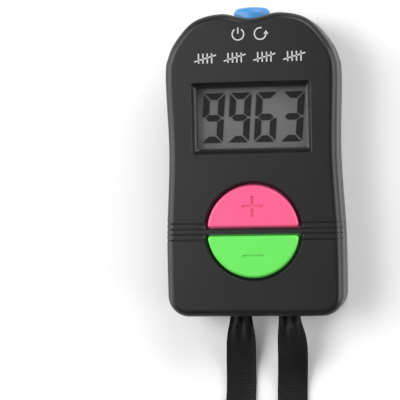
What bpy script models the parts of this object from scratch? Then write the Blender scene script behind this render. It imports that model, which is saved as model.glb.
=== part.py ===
"""Hand-held electronic tally counter with a neck ribbon, lying on its back.

X is across the case, Y runs from the ribbon end to the reset button, and Z comes out of the display face.
The origin is on the resting plane, under the middle of the case and its reset button.
"""

import math

import bmesh
import bpy
from mathutils import Matrix, Vector

MM = 0.001
GAP = 0.3 * MM  # clearance between neighbouring pieces

# Driving dimensions of the case.
TOTAL_LENGTH = 72.4 * MM  # with the reset button
CASE_DEPTH = 15.0 * MM
WALL = 1.6 * MM
SEAM = 6.4 * MM  # height of the rear shell's rim
BOTTOM = -TOTAL_LENGTH / 2  # Y of the ribbon end
FACE = CASE_DEPTH
CEILING = FACE - WALL  # inside of the front wall

# Half of the outline, as distance from the centre line and from the ribbon end.
CORNER_RADIUS = 5.0 * MM
SIDE_POINTS = (
    (20.7, 5.0),
    (20.65, 19.0),
    (19.75, 38.0),
    (20.2, 55.8),
    (19.5, 60.9),
    (17.3, 65.1),
    (13.05, 69.3),
    (6.75, 70.75),
    (0.0, 69.55),
)
SIDE_STEPS = 6
CHAMFER = 1.15 * MM
TONGUE_INSET = 0.95 * MM
TONGUE_HEIGHT = 1.2 * MM

# Display stack, from the window down to the board.
DISPLAY_Y = BOTTOM + 46.4 * MM
WINDOW_TOP = (28.0 * MM, 16.6 * MM)
WINDOW_FLOOR = (25.5 * MM, 14.1 * MM)
LENS_SIZE = (29.6 * MM, 18.2 * MM)
LENS_THICKNESS = 1.0 * MM
POLARISER_SIZE = (27.6 * MM, 16.0 * MM)
POLARISER_THICKNESS = 0.3 * MM
GLASS_THICKNESS = 1.1 * MM
FRONT_GLASS_SIZE = (30.0 * MM, 19.4 * MM)
REAR_GLASS_SIZE = (30.0 * MM, 15.6 * MM)
LENS_TOP = CEILING - GAP
POLARISER_TOP = LENS_TOP - LENS_THICKNESS - GAP
FRONT_GLASS_TOP = POLARISER_TOP - POLARISER_THICKNESS - GAP
REAR_GLASS_TOP = FRONT_GLASS_TOP - GLASS_THICKNESS - GAP
REFLECTOR_TOP = REAR_GLASS_TOP - GLASS_THICKNESS - GAP
FRAME_WALL = 1.5 * MM
STRIP_LENGTH = 26.0 * MM
STRIP_WIDTH = 1.3 * MM

# Board and switches.
BOARD_THICKNESS = 1.0 * MM
BOARD_TOP = 7.0 * MM
BOARD_UNDER = BOARD_TOP - BOARD_THICKNESS
BOARD_HALF_WIDTH = 17.0 * MM
BOARD_LOW_Y = BOTTOM + 10.6 * MM
BOARD_SHOULDER_Y = BOTTOM + 59.1 * MM
BOARD_TONGUE_HALF_WIDTH = 9.4 * MM
BOARD_HIGH_Y = BOTTOM + 65.0 * MM
SWITCH_SIDE = 6.0 * MM
SWITCH_HEIGHT = 3.5 * MM
PLUNGER_RADIUS = 1.7 * MM
PLUNGER_PROUD = 0.8 * MM
PLUNGER_TRAVEL = 0.25 * MM
BUTTON_TRAVEL = 0.55 * MM
FREE_PLAY = BUTTON_TRAVEL - PLUNGER_TRAVEL + 0.05 * MM
SWITCH_TIP = BOARD_TOP + GAP + SWITCH_HEIGHT + PLUNGER_PROUD
BUTTON_UNDER = SWITCH_TIP + FREE_PLAY

# Counting buttons: two half discs in one round opening.
BUTTONS_Y = BOTTOM + 20.0 * MM
BUTTON_RADIUS = 10.75 * MM
BUTTON_HALF_SLIT = 1.0 * MM
BUTTON_TOP = FACE + 0.7 * MM
BUTTON_BEVEL = 0.4 * MM
OPENING_RADIUS = BUTTON_RADIUS + GAP
COUNTERSINK_RADIUS = 11.75 * MM
BRIDGE_HALF_WIDTH = 0.62 * MM
FLANGE_RADIUS = 11.9 * MM
FLANGE_THICKNESS = 1.0 * MM
SIGN_OFFSET = 5.8 * MM  # of each sign from the line between the buttons
SIGN_REACH = 2.45 * MM
SIGN_HALF_STROKE = 0.34 * MM
SIGN_DEPTH = 0.35 * MM
SWITCH_OFFSET = 5.4 * MM  # of each switch from the line between the buttons

# Decorative grooves beside the counting buttons.
GROOVE_OFFSETS = (0.62 * MM, 1.95 * MM)
GROOVE_WIDTH = 0.3 * MM
GROOVE_DEPTH = 0.4 * MM
EDGE_NOTCH_DEPTH = 0.35 * MM
EDGE_NOTCH_HEIGHT = 2.6 * MM

# Reset button in the notch of the upper end.
RESET_HALF_WIDTH = 4.3 * MM
RESET_HALF_HEIGHT = 2.9 * MM
RESET_Z = 9.2 * MM
RESET_TIP = TOTAL_LENGTH / 2
RESET_DOME = 1.0 * MM
RESET_FLANGE_TOP = BOTTOM + 67.3 * MM
RESET_FLANGE_THICKNESS = 0.9 * MM
RESET_FLANGE_RIM = 0.9 * MM
RESET_SWITCH_DEPTH = 3.5 * MM
RESET_SWITCH_TOP = BOTTOM + 64.4 * MM
RESET_SWITCH_HEIGHT = 4.0 * MM
RESET_PLUNGER_RADIUS = 1.3 * MM
RESET_SWITCH_Z = BOARD_TOP + GAP + RESET_SWITCH_HEIGHT / 2
RESET_STEM_END = RESET_SWITCH_TOP + PLUNGER_PROUD + FREE_PLAY

# Screws that hold the shells together and the board in the front shell.
CASE_SCREWS = (
    ("case_screw_lower_left", -16.0 * MM, BOTTOM + 6.0 * MM),
    ("case_screw_lower_right", 16.0 * MM, BOTTOM + 6.0 * MM),
    ("case_screw_upper_left", -13.5 * MM, BOTTOM + 62.0 * MM),
    ("case_screw_upper_right", 13.5 * MM, BOTTOM + 62.0 * MM),
)
BOARD_SCREWS = (
    ("board_screw_left", -14.5 * MM, BOTTOM + 32.4 * MM),
    ("board_screw_right", 14.5 * MM, BOTTOM + 32.4 * MM),
)
CASE_SCREW_RADIUS = 1.0 * MM
CASE_SCREW_HEAD_RADIUS = 1.9 * MM
CASE_SCREW_HEAD_HEIGHT = 1.4 * MM
CASE_SCREW_LENGTH = 8.0 * MM
WELL_DEPTH = 2.4 * MM
CASE_SCREW_HEAD_TOP = WELL_DEPTH - GAP
REAR_BOSS_RADIUS = 3.3 * MM
REAR_BOSS_TOP = 5.4 * MM
FRONT_BOSS_RADIUS = 2.5 * MM
BOARD_SCREW_RADIUS = 0.8 * MM
BOARD_SCREW_HEAD_RADIUS = 1.5 * MM
BOARD_SCREW_HEAD_HEIGHT = 1.0 * MM
BOARD_SCREW_LENGTH = 5.0 * MM
BOARD_POST_RADIUS = 2.0 * MM
RECESS_DEPTH = 0.7 * MM
RECESS_HALF_STROKE = 0.22 * MM

# Battery compartment, centred behind the counting buttons.
CELL_RADIUS = 5.8 * MM
CELL_HEIGHT = 3.05 * MM
CELL_CAP_RADIUS = 4.6 * MM
CELL_UNDER = 1.5 * MM
DOOR_FLANGE_RADIUS = 8.6 * MM
DOOR_FLANGE_THICKNESS = 0.6 * MM
DOOR_FLOOR = 1.2 * MM
DOOR_HUB_RADIUS = 6.7 * MM
DOOR_HUB_TOP = 2.8 * MM
LUG_RADIUS = 8.2 * MM
LUG_UNDER = WALL + GAP
LUG_TOP = 2.6 * MM
LUG_HALF_ANGLE = math.radians(17)
DOOR_TURN = math.radians(45)
NOTCH_HALF_ANGLE = LUG_HALF_ANGLE + math.radians(3)
COIN_SLOT = (10.5 * MM, 1.7 * MM, 0.7 * MM)
WELL_WALL = 1.0 * MM
CONTACT_THICKNESS = 0.3 * MM

# Ribbon bar and slot in the lower end.
SLOT_HALF_WIDTH = 11.2 * MM
SLOT_LOW = 4.3 * MM
SLOT_HIGH = 10.8 * MM
BAR_RADIUS = 1.2 * MM
BAR_HALF_LENGTH = 13.0 * MM
BAR_Y = BOTTOM + 3.4 * MM
BAR_Z = (SLOT_LOW + SLOT_HIGH) / 2
EAR_THICKNESS = 1.6 * MM

# Ribbon: two strands from the slot to an oval coil that stands on edge.
RIBBON_WIDTH = 7.2 * MM
RIBBON_THICKNESS = 0.5 * MM
COIL_UNDER = 0.8 * MM
COIL_NEAR_Y = -98.0 * MM
COIL_FAR_Y = -174.0 * MM
COIL_OUTER_RADIUS = 22.5 * MM
COIL_INNER_RADIUS = 13.5 * MM
TIE_THICKNESS = 0.45 * MM
TIE_WIDTH = 4.0 * MM
STRAND_STEPS = 5
# Each row is x, y and z in millimetres, and how far the ribbon has turned onto its edge, in degrees.
RIGHT_STRAND = (
    (7.4, -34.3, 9.4, 0),
    (7.5, -37.5, 9.3, 0),
    (7.7, -41.0, 8.0, 0),
    (7.6, -45.0, 5.2, 0),
    (7.2, -49.5, 2.1, 0),
    (6.9, -54.0, 0.7, 0),
    (6.8, -59.0, 0.4, 0),
    (7.8, -65.0, 1.7, 20),
    (10.2, -71.5, 3.1, 50),
    (13.2, -76.6, 3.9, 78),
    (15.9, -81.0, 4.0, 90),
)
LEFT_STRAND = (
    (-4.5, -34.3, 5.7, 0),
    (-4.6, -37.5, 5.4, 0),
    (-4.9, -41.5, 4.0, 0),
    (-5.3, -46.5, 1.9, 0),
    (-5.5, -51.5, 0.7, 0),
    (-5.7, -57.0, 0.4, 0),
    (-6.4, -63.0, 1.7, 0),
    (-7.5, -69.0, 5.3, 0),
    (-9.0, -75.0, 8.3, 0),
    (-10.7, -81.0, 8.8, 0),
    (-12.4, -87.0, 8.8, 0),
)

MATERIALS = {}


def material(name, colour, roughness, metallic=0.0):
    """A Principled material, made once and shared by name."""
    if name not in MATERIALS:
        made = bpy.data.materials.new(name)
        made.use_nodes = True
        shader = made.node_tree.nodes["Principled BSDF"]
        shader.inputs["Base Color"].default_value = (*colour, 1.0)
        shader.inputs["Roughness"].default_value = roughness
        shader.inputs["Metallic"].default_value = metallic
        made.diffuse_color = (*colour, 1.0)
        MATERIALS[name] = made
    return MATERIALS[name]


def case_plastic():
    return material("case_plastic", (0.022, 0.022, 0.024), 0.5)


def pink_plastic():
    return material("pink_plastic", (0.95, 0.10, 0.28), 0.4)


def green_plastic():
    return material("green_plastic", (0.10, 0.75, 0.12), 0.4)


def blue_plastic():
    return material("blue_plastic", (0.05, 0.28, 0.80), 0.4)


def clear_plastic():
    return material("clear_plastic", (0.85, 0.88, 0.88), 0.1)


def display_glass():
    return material("display_glass", (0.55, 0.60, 0.58), 0.1)


def display_film():
    return material("display_film", (0.30, 0.31, 0.30), 0.5)


def frame_plastic():
    return material("frame_plastic", (0.75, 0.75, 0.72), 0.5)


def strip_rubber():
    return material("strip_rubber", (0.60, 0.30, 0.32), 0.8)


def board_laminate():
    return material("board_laminate", (0.03, 0.20, 0.08), 0.5)


def chip_resin():
    return material("chip_resin", (0.015, 0.015, 0.015), 0.4)


def ceramic():
    return material("ceramic", (0.55, 0.45, 0.33), 0.6)


def steel():
    return material("steel", (0.62, 0.62, 0.62), 0.3, 1.0)


def spring_metal():
    return material("spring_metal", (0.75, 0.70, 0.58), 0.3, 1.0)


def ribbon_fabric():
    return material("ribbon_fabric", (0.015, 0.015, 0.017), 0.5)


def skin(name, loops):
    """A closed mesh over a stack of loops with the same number of points."""
    mesh = bpy.data.meshes.new(name)
    work = bmesh.new()
    rings = [[work.verts.new(point) for point in loop] for loop in loops]
    for low, high in zip(rings, rings[1:]):
        for i, corner in enumerate(low):
            j = (i + 1) % len(low)
            work.faces.new((corner, low[j], high[j], high[i]))
    work.faces.new(list(reversed(rings[0])))
    work.faces.new(rings[-1])
    bmesh.ops.recalc_face_normals(work, faces=work.faces)
    work.to_mesh(mesh)
    work.free()
    return mesh


def at_height(outline, z):
    return [Vector((x, y, z)) for x, y in outline]


def prism(name, outline, low, high):
    return skin(name, [at_height(outline, low), at_height(outline, high)])


def rectangle(width, height, centre=(0.0, 0.0), radius=0.0, steps=4):
    """Corner points of a rectangle, counter-clockwise, with rounded corners if radius is given."""
    points = []
    for quarter, (sx, sy) in enumerate(((1, 1), (-1, 1), (-1, -1), (1, -1))):
        cx = centre[0] + sx * (width / 2 - radius)
        cy = centre[1] + sy * (height / 2 - radius)
        for i in range(steps + 1 if radius else 1):
            angle = math.pi / 2 * (quarter + i / steps)
            points.append((cx + radius * math.cos(angle), cy + radius * math.sin(angle)))
    return points


def circle(radius, centre=(0.0, 0.0), steps=32, scale=1.0):
    """Points of a circle, or of an ellipse if scale stretches its second axis."""
    return [
        (
            centre[0] + radius * math.cos(2 * math.pi * i / steps),
            centre[1] + radius * scale * math.sin(2 * math.pi * i / steps),
        )
        for i in range(steps)
    ]


def box(name, low, high):
    centre = ((low[0] + high[0]) / 2, (low[1] + high[1]) / 2)
    outline = rectangle(high[0] - low[0], high[1] - low[1], centre)
    return prism(name, outline, low[2], high[2])


def turned(name, profile, centre, steps=24):
    """A round piece about a vertical axis, from (radius, z) pairs, lowest first."""
    return skin(name, [at_height(circle(r, centre, steps), z) for r, z in profile])


def turned_along_y(name, profile, centre, steps=24, scale=1.0):
    """A round or elliptical piece about an axis along Y, from (half width, y) pairs; centre is x and z."""
    loops = []
    for radius, y in profile:
        loops.append([Vector((x, y, z)) for x, z in circle(radius, centre, steps, scale)])
    return skin(name, loops)


def turned_along_x(name, profile, centre, steps=24):
    """A round piece about an axis along X, from (radius, x) pairs; centre is y and z."""
    return skin(name, [[Vector((x, y, z)) for y, z in circle(r, centre, steps)] for r, x in profile])


def half_disc(radius, flat, side, steps=36):
    """Outline of a disc cut by a straight edge; side is +1 for the upper half and -1 for the lower."""
    start = math.asin(flat / radius)
    span = math.pi - 2 * start
    points = []
    for i in range(steps + 1):
        angle = start + span * i / steps
        points.append((radius * math.cos(angle), BUTTONS_Y + side * radius * math.sin(angle)))
    return points


def wedge(radius, middle, half_angle, centre, steps=6):
    """Outline of a slice of a disc."""
    arc = [middle - half_angle + 2 * half_angle * i / steps for i in range(steps + 1)]
    rim = [(centre[0] + radius * math.cos(a), centre[1] + radius * math.sin(a)) for a in arc]
    return [centre] + rim


def through(points, steps):
    """Points on a smooth curve through the given points, which may have any number of values."""
    rows = [Vector(point) for point in points]
    result = []
    for i in range(len(rows) - 1):
        before = rows[max(i - 1, 0)]
        start, end = rows[i], rows[i + 1]
        after = rows[min(i + 2, len(rows) - 1)]
        for step in range(steps):
            t = step / steps
            pull = (end - before) * (t - 2 * t**2 + t**3) / 2
            push = (after - start) * (t**3 - t**2) / 2
            result.append(start * (1 - 3 * t**2 + 2 * t**3) + end * (3 * t**2 - 2 * t**3) + pull + push)
    result.append(rows[-1])
    return result


def case_outline(inset=0.0):
    """The outline of the case seen from the front, moved inwards by inset."""
    corner = []
    for i in range(6):
        angle = math.pi / 2 * (i / 6 - 1)
        corner.append(
            (
                SIDE_POINTS[0][0] * MM + CORNER_RADIUS * (math.cos(angle) - 1),
                CORNER_RADIUS * (math.sin(angle) + 1),
            )
        )
    side = [(p[0] * MM, p[1] * MM) for p in through(SIDE_POINTS, SIDE_STEPS)]
    right = corner + side
    left = [(-x, y) for x, y in reversed(right[:-1])]
    outline = [(x, y + BOTTOM) for x, y in right + left]
    moved = []
    for i, here in enumerate(outline):
        before = outline[i - 1]
        after = outline[(i + 1) % len(outline)]
        along = Vector((after[0] - before[0], after[1] - before[1])).normalized()
        moved.append((here[0] - along.y * inset, here[1] + along.x * inset))
    return moved


def case_loft(name, layers):
    """A closed solid from (z, inset) pairs of the case outline, lowest first."""
    return skin(name, [at_height(case_outline(inset), z) for z, inset in layers])


def node(name, mesh, finish, origin=(0.0, 0.0, 0.0)):
    """A visible piece, with its origin moved to the given point."""
    mesh.transform(Matrix.Translation(-Vector(origin)))
    mesh.materials.append(finish)
    mesh.shade_smooth()
    mesh.set_sharp_from_angle(angle=math.radians(32))
    piece = bpy.data.objects.new(name, mesh)
    piece.location = origin
    bpy.context.scene.collection.objects.link(piece)
    return piece


def guide(mesh):
    """A hidden solid that a Boolean adds to a piece or cuts from it."""
    piece = bpy.data.objects.new(mesh.name, mesh)
    piece.hide_render = True
    piece.display_type = "WIRE"
    bpy.context.scene.collection.objects.link(piece)
    return piece


def combine(piece, operation, meshes):
    for mesh in meshes:
        step = piece.modifiers.new(mesh.name, "BOOLEAN")
        step.operation = operation
        step.solver = "EXACT"
        step.object = guide(mesh)


def cut(piece, *meshes):
    combine(piece, "DIFFERENCE", meshes)


def join(piece, *meshes):
    combine(piece, "UNION", meshes)


def window_cutter():
    """The display window, whose walls slope in from the face."""
    overrun = 0.1 * MM
    slope_x = (WINDOW_TOP[0] - WINDOW_FLOOR[0]) / WALL
    slope_y = (WINDOW_TOP[1] - WINDOW_FLOOR[1]) / WALL
    loops = []
    for z in (CEILING - overrun, FACE + overrun):
        rise = z - CEILING
        size = (WINDOW_FLOOR[0] + slope_x * rise, WINDOW_FLOOR[1] + slope_y * rise)
        radius = (0.5 + 0.25 * rise / WALL) * MM
        loops.append(at_height(rectangle(*size, (0.0, DISPLAY_Y), radius), z))
    return skin("window_cutter", loops)


def button_opening(side):
    """The half-round opening of one counting button, countersunk at the face."""
    overrun = 0.05 * MM
    countersink = COUNTERSINK_RADIUS - OPENING_RADIUS
    layers = (
        (OPENING_RADIUS, CEILING - overrun),
        (OPENING_RADIUS, FACE - countersink),
        (COUNTERSINK_RADIUS + overrun, FACE + overrun),
    )
    loops = [at_height(half_disc(r, BRIDGE_HALF_WIDTH, side), z) for r, z in layers]
    return skin("button_opening", loops)


def groove_cutters():
    """Grooves beside the buttons, each ending in a notch in the edge of the case."""
    cutters = []
    half = GROOVE_WIDTH / 2
    edge_x = SIDE_POINTS[1][0] * MM
    outside_x = 22.0 * MM
    for side in (-1, 1):
        for offset in [sign * g for g in GROOVE_OFFSETS for sign in (-1, 1)]:
            y = BUTTONS_Y + offset
            span = sorted((side * COUNTERSINK_RADIUS * 0.985, side * outside_x))
            low = (span[0], y - half, FACE - GROOVE_DEPTH)
            high = (span[1], y + half, FACE + GROOVE_DEPTH)
            cutters.append(box("groove", low, high))
            span = sorted((side * (edge_x - EDGE_NOTCH_DEPTH), side * outside_x))
            low = (span[0], y - half, FACE - EDGE_NOTCH_HEIGHT)
            high = (span[1], y + half, FACE - GROOVE_DEPTH / 2)
            cutters.append(box("edge_notch", low, high))
    return cutters


def reset_opening():
    half_width = RESET_HALF_WIDTH + GAP
    scale = (RESET_HALF_HEIGHT + GAP) / half_width
    profile = ((half_width, RESET_FLANGE_TOP - GAP), (half_width, RESET_TIP))
    return turned_along_y("reset_opening", profile, (0.0, RESET_Z), 40, scale)


def slot_cutter():
    centre = (0.0, (SLOT_LOW + SLOT_HIGH) / 2)
    outline = rectangle(2 * SLOT_HALF_WIDTH, SLOT_HIGH - SLOT_LOW, centre, 1.2 * MM)
    depths = (BOTTOM - GAP, BOTTOM + WALL + GAP)
    return skin("slot_cutter", [[Vector((x, y, z)) for x, z in outline] for y in depths])


def bar_seat():
    reach = BAR_HALF_LENGTH + GAP
    profile = ((BAR_RADIUS + GAP, -reach), (BAR_RADIUS + GAP, reach))
    return turned_along_x("bar_seat", profile, (BAR_Y, BAR_Z))


def ears(low, high):
    """The two lugs at the ends of the ribbon bar."""
    inner = SLOT_HALF_WIDTH + GAP
    made = []
    for side in (-1, 1):
        span = sorted((side * inner, side * (inner + EAR_THICKNESS)))
        corners = ((span[0], BOTTOM + WALL / 2, low), (span[1], BAR_Y + 2.1 * MM, high))
        made.append(box("ear", *corners))
    return made


def make_front_case():
    rebate = TONGUE_INSET - GAP
    rebate_top = SEAM + TONGUE_HEIGHT + GAP
    ease = 0.12 * MM
    layers = (
        (SEAM + GAP, 0.0),
        (FACE - CHAMFER - ease, 0.0),
        (FACE - CHAMFER + ease / 2, ease / 2),
        (FACE - ease / 2, CHAMFER - ease / 2),
        (FACE, CHAMFER + ease),
    )
    cavity = ((SEAM, rebate), (rebate_top, rebate), (rebate_top, WALL), (CEILING, WALL))
    piece = node("front_case", case_loft("front_case", layers), case_plastic())
    cut(piece, case_loft("front_cavity", cavity))
    into_wall = CEILING + WALL / 2
    boss_low = REAR_BOSS_TOP + GAP
    for _, x, y in CASE_SCREWS:
        boss = ((FRONT_BOSS_RADIUS, boss_low), (FRONT_BOSS_RADIUS, into_wall))
        join(piece, turned("boss", boss, (x, y)))
    for _, x, y in BOARD_SCREWS:
        post = ((BOARD_POST_RADIUS, BOARD_TOP + GAP), (BOARD_POST_RADIUS, into_wall))
        join(piece, turned("post", post, (x, y)))
    join(piece, *ears(BAR_Z + GAP / 2, into_wall))
    for _, x, y in CASE_SCREWS:
        bore = CASE_SCREW_RADIUS + GAP
        hole_top = CASE_SCREW_HEAD_TOP + CASE_SCREW_LENGTH + GAP
        cut(piece, turned("pilot_hole", ((bore, boss_low - GAP), (bore, hole_top)), (x, y), 16))
    for _, x, y in BOARD_SCREWS:
        bore = BOARD_SCREW_RADIUS + GAP
        hole_top = BOARD_UNDER - GAP + BOARD_SCREW_LENGTH + GAP
        cut(piece, turned("board_pilot_hole", ((bore, BOARD_TOP), (bore, hole_top)), (x, y), 16))
    cut(piece, window_cutter(), button_opening(1), button_opening(-1))
    cut(piece, *groove_cutters())
    cut(piece, reset_opening(), slot_cutter(), bar_seat())


def make_rear_case():
    soft_edge = 1.5 * MM
    layers = [(0.0, soft_edge)]
    for i in (1, 2, 3):
        angle = math.pi / 2 * i / 3
        layers.append((soft_edge * (1 - math.cos(angle)), soft_edge * (1 - math.sin(angle))))
    layers += [(SEAM, 0.0), (SEAM, TONGUE_INSET), (SEAM + TONGUE_HEIGHT, TONGUE_INSET)]
    piece = node("rear_case", case_loft("rear_case", layers), case_plastic())
    cut(piece, case_loft("rear_cavity", ((WALL, WALL), (SEAM + 2 * TONGUE_HEIGHT, WALL))))
    floor_bite = WALL / 2
    for _, x, y in CASE_SCREWS:
        boss = ((REAR_BOSS_RADIUS, floor_bite), (REAR_BOSS_RADIUS, REAR_BOSS_TOP))
        join(piece, turned("rear_boss", boss, (x, y)))
    join(piece, *ears(floor_bite, BAR_Z - GAP / 2))
    well_inner = DOOR_FLANGE_RADIUS + GAP
    well_top = BOARD_UNDER - GAP
    centre = (0.0, BUTTONS_Y)
    well = ((well_inner + WELL_WALL, floor_bite), (well_inner + WELL_WALL, well_top))
    join(piece, turned("battery_well", well, centre, 48))
    cut(piece, turned("battery_room", ((well_inner, WALL), (well_inner, SEAM)), centre, 48))
    ledge = DOOR_FLANGE_THICKNESS + GAP
    cut(piece, turned("door_seat", ((well_inner, -GAP), (well_inner, ledge)), centre, 48))
    hole = DOOR_HUB_RADIUS + GAP
    cut(piece, turned("door_hole", ((hole, ledge / 2), (hole, WALL + GAP)), centre, 48))
    for side in (0, math.pi):
        angle = math.pi / 2 - DOOR_TURN + side
        outline = wedge(LUG_RADIUS + GAP, angle, NOTCH_HALF_ANGLE, centre)
        cut(piece, prism("lug_notch", outline, ledge / 2, WALL + GAP))
    for _, x, y in CASE_SCREWS:
        head = CASE_SCREW_HEAD_RADIUS + GAP
        bore = CASE_SCREW_RADIUS + GAP
        profile = ((head, -GAP), (head, WELL_DEPTH), (bore, WELL_DEPTH), (bore, SEAM))
        cut(piece, turned("screw_well", profile, (x, y), 20))
    cut(piece, reset_opening(), slot_cutter(), bar_seat())


def make_battery_door():
    centre = (0.0, BUTTONS_Y)
    flange_ease = 0.15 * MM
    profile = (
        (DOOR_FLANGE_RADIUS - flange_ease, 0.0),
        (DOOR_FLANGE_RADIUS, flange_ease),
        (DOOR_FLANGE_RADIUS, DOOR_FLANGE_THICKNESS),
        (DOOR_HUB_RADIUS, DOOR_FLANGE_THICKNESS),
        (DOOR_HUB_RADIUS, DOOR_HUB_TOP),
    )
    mesh = turned("battery_door", profile, centre, 48)
    piece = node("battery_door", mesh, case_plastic(), (*centre, 0.0))
    for side in (0, math.pi):
        outline = wedge(LUG_RADIUS, math.pi / 2 + side, LUG_HALF_ANGLE, centre)
        join(piece, prism("lug", outline, LUG_UNDER, LUG_TOP))
    cup = CELL_RADIUS + GAP
    cut(piece, turned("cell_cup", ((cup, DOOR_FLOOR), (cup, DOOR_HUB_TOP + GAP)), centre, 48))
    length, width, depth = COIN_SLOT
    outline = rectangle(length, width, centre, 0.49 * width)
    cut(piece, prism("coin_slot", outline, -GAP, depth))
    mark_y = BUTTONS_Y + 0.83 * DOOR_FLANGE_RADIUS
    cut(piece, turned("door_mark", ((0.5 * MM, -GAP), (0.5 * MM, 0.3 * MM)), (0.0, mark_y), 12))


def make_counting_button(name, side, finish):
    """A half-round key with a retaining flange, a stem over its switch and its sign cut in the top."""
    flange_top = CEILING - GAP
    half_slit = BUTTON_HALF_SLIT
    layers = (
        (0.0, flange_top - FLANGE_THICKNESS / 2),
        (0.0, BUTTON_TOP - BUTTON_BEVEL),
        (BUTTON_BEVEL, BUTTON_TOP),
    )
    loops = []
    for inset, z in layers:
        loops.append(at_height(half_disc(BUTTON_RADIUS - inset, half_slit + inset, side), z))
    centre = (0.0, BUTTONS_Y + side * SWITCH_OFFSET)
    piece = node(name, skin(name, loops), finish, (*centre, BUTTON_TOP))
    flange = half_disc(FLANGE_RADIUS, BRIDGE_HALF_WIDTH / 2, side)
    join(piece, prism("flange", flange, flange_top - FLANGE_THICKNESS, flange_top))
    stem = ((PLUNGER_RADIUS, BUTTON_UNDER), (PLUNGER_RADIUS, flange_top))
    join(piece, turned("stem", stem, centre, 20))
    sign_floor = BUTTON_TOP - SIGN_DEPTH
    sign_top = BUTTON_TOP + SIGN_DEPTH
    bars = [(2 * SIGN_REACH, 2 * SIGN_HALF_STROKE)]
    if side > 0:
        bars.append((2 * SIGN_HALF_STROKE, 2 * SIGN_REACH))
    middle = (0.0, BUTTONS_Y + side * SIGN_OFFSET)
    for width, height in bars:
        cut(piece, prism("sign", rectangle(width, height, middle), sign_floor, sign_top))


def make_reset_button():
    """An elliptical push rod with a domed tip, a retaining flange and a stem over its switch."""
    scale = RESET_HALF_HEIGHT / RESET_HALF_WIDTH
    flange_low = RESET_FLANGE_TOP - RESET_FLANGE_THICKNESS
    profile = [
        (RESET_HALF_WIDTH + RESET_FLANGE_RIM, flange_low),
        (RESET_HALF_WIDTH + RESET_FLANGE_RIM, RESET_FLANGE_TOP),
        (RESET_HALF_WIDTH, RESET_FLANGE_TOP),
    ]
    for i in range(6):
        angle = math.pi / 2 * i / 6
        half_width = RESET_HALF_WIDTH - RESET_DOME * (1 - math.cos(angle))
        profile.append((half_width, RESET_TIP - RESET_DOME * 1.25 + RESET_DOME * math.sin(angle)))
    profile.append((RESET_HALF_WIDTH * 0.45, RESET_TIP))
    mesh = turned_along_y("reset_button", profile, (0.0, RESET_Z), 40, scale)
    piece = node("reset_button", mesh, blue_plastic(), (0.0, RESET_TIP, RESET_Z))
    stem = ((PLUNGER_RADIUS, RESET_STEM_END), (PLUNGER_RADIUS, RESET_FLANGE_TOP))
    join(piece, turned_along_y("reset_stem", stem, (0.0, RESET_SWITCH_Z), 20))


def make_upright_switch(name, y):
    """A tact switch on the board: a square base with a round plunger that sinks into it."""
    low = BOARD_TOP + GAP
    high = low + SWITCH_HEIGHT
    outline = rectangle(SWITCH_SIDE, SWITCH_SIDE, (0.0, y), 0.5 * MM, 2)
    base = node(name + "_switch_base", prism(name, outline, low, high), chip_resin())
    foot = high - PLUNGER_PROUD - GAP
    room = PLUNGER_RADIUS + GAP
    bore = ((room, foot - PLUNGER_TRAVEL - GAP), (room, high + GAP))
    cut(base, turned("plunger_bore", bore, (0.0, y), 20))
    top = high + PLUNGER_PROUD
    ease = 0.15 * MM
    profile = (
        (PLUNGER_RADIUS, foot),
        (PLUNGER_RADIUS, top - ease),
        (PLUNGER_RADIUS - ease, top),
    )
    plunger = turned("plunger", profile, (0.0, y), 20)
    node(name + "_switch_plunger", plunger, frame_plastic(), (0.0, y, top))


def make_reset_switch():
    """A side-pressed tact switch that faces the upper end."""
    low = BOARD_TOP + GAP
    half = SWITCH_SIDE / 2
    corners = (
        (-half, RESET_SWITCH_TOP - RESET_SWITCH_DEPTH, low),
        (half, RESET_SWITCH_TOP, low + RESET_SWITCH_HEIGHT),
    )
    base = node("reset_switch_base", box("reset_switch_base", *corners), chip_resin())
    axis = (0.0, RESET_SWITCH_Z)
    foot = RESET_SWITCH_TOP - PLUNGER_PROUD - GAP
    room = RESET_PLUNGER_RADIUS + GAP
    bore = ((room, foot - PLUNGER_TRAVEL - GAP), (room, RESET_SWITCH_TOP + GAP))
    cut(base, turned_along_y("reset_bore", bore, axis, 20))
    tip = RESET_SWITCH_TOP + PLUNGER_PROUD
    profile = ((RESET_PLUNGER_RADIUS, foot), (RESET_PLUNGER_RADIUS, tip))
    plunger = turned_along_y("reset_switch_plunger", profile, axis, 20)
    node("reset_switch_plunger", plunger, frame_plastic(), (0.0, tip, RESET_SWITCH_Z))


def plate(name, size, top, thickness, finish):
    """A flat rectangular layer of the display stack."""
    outline = rectangle(*size, (0.0, DISPLAY_Y))
    node(name, prism(name, outline, top - thickness, top), finish)


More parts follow.
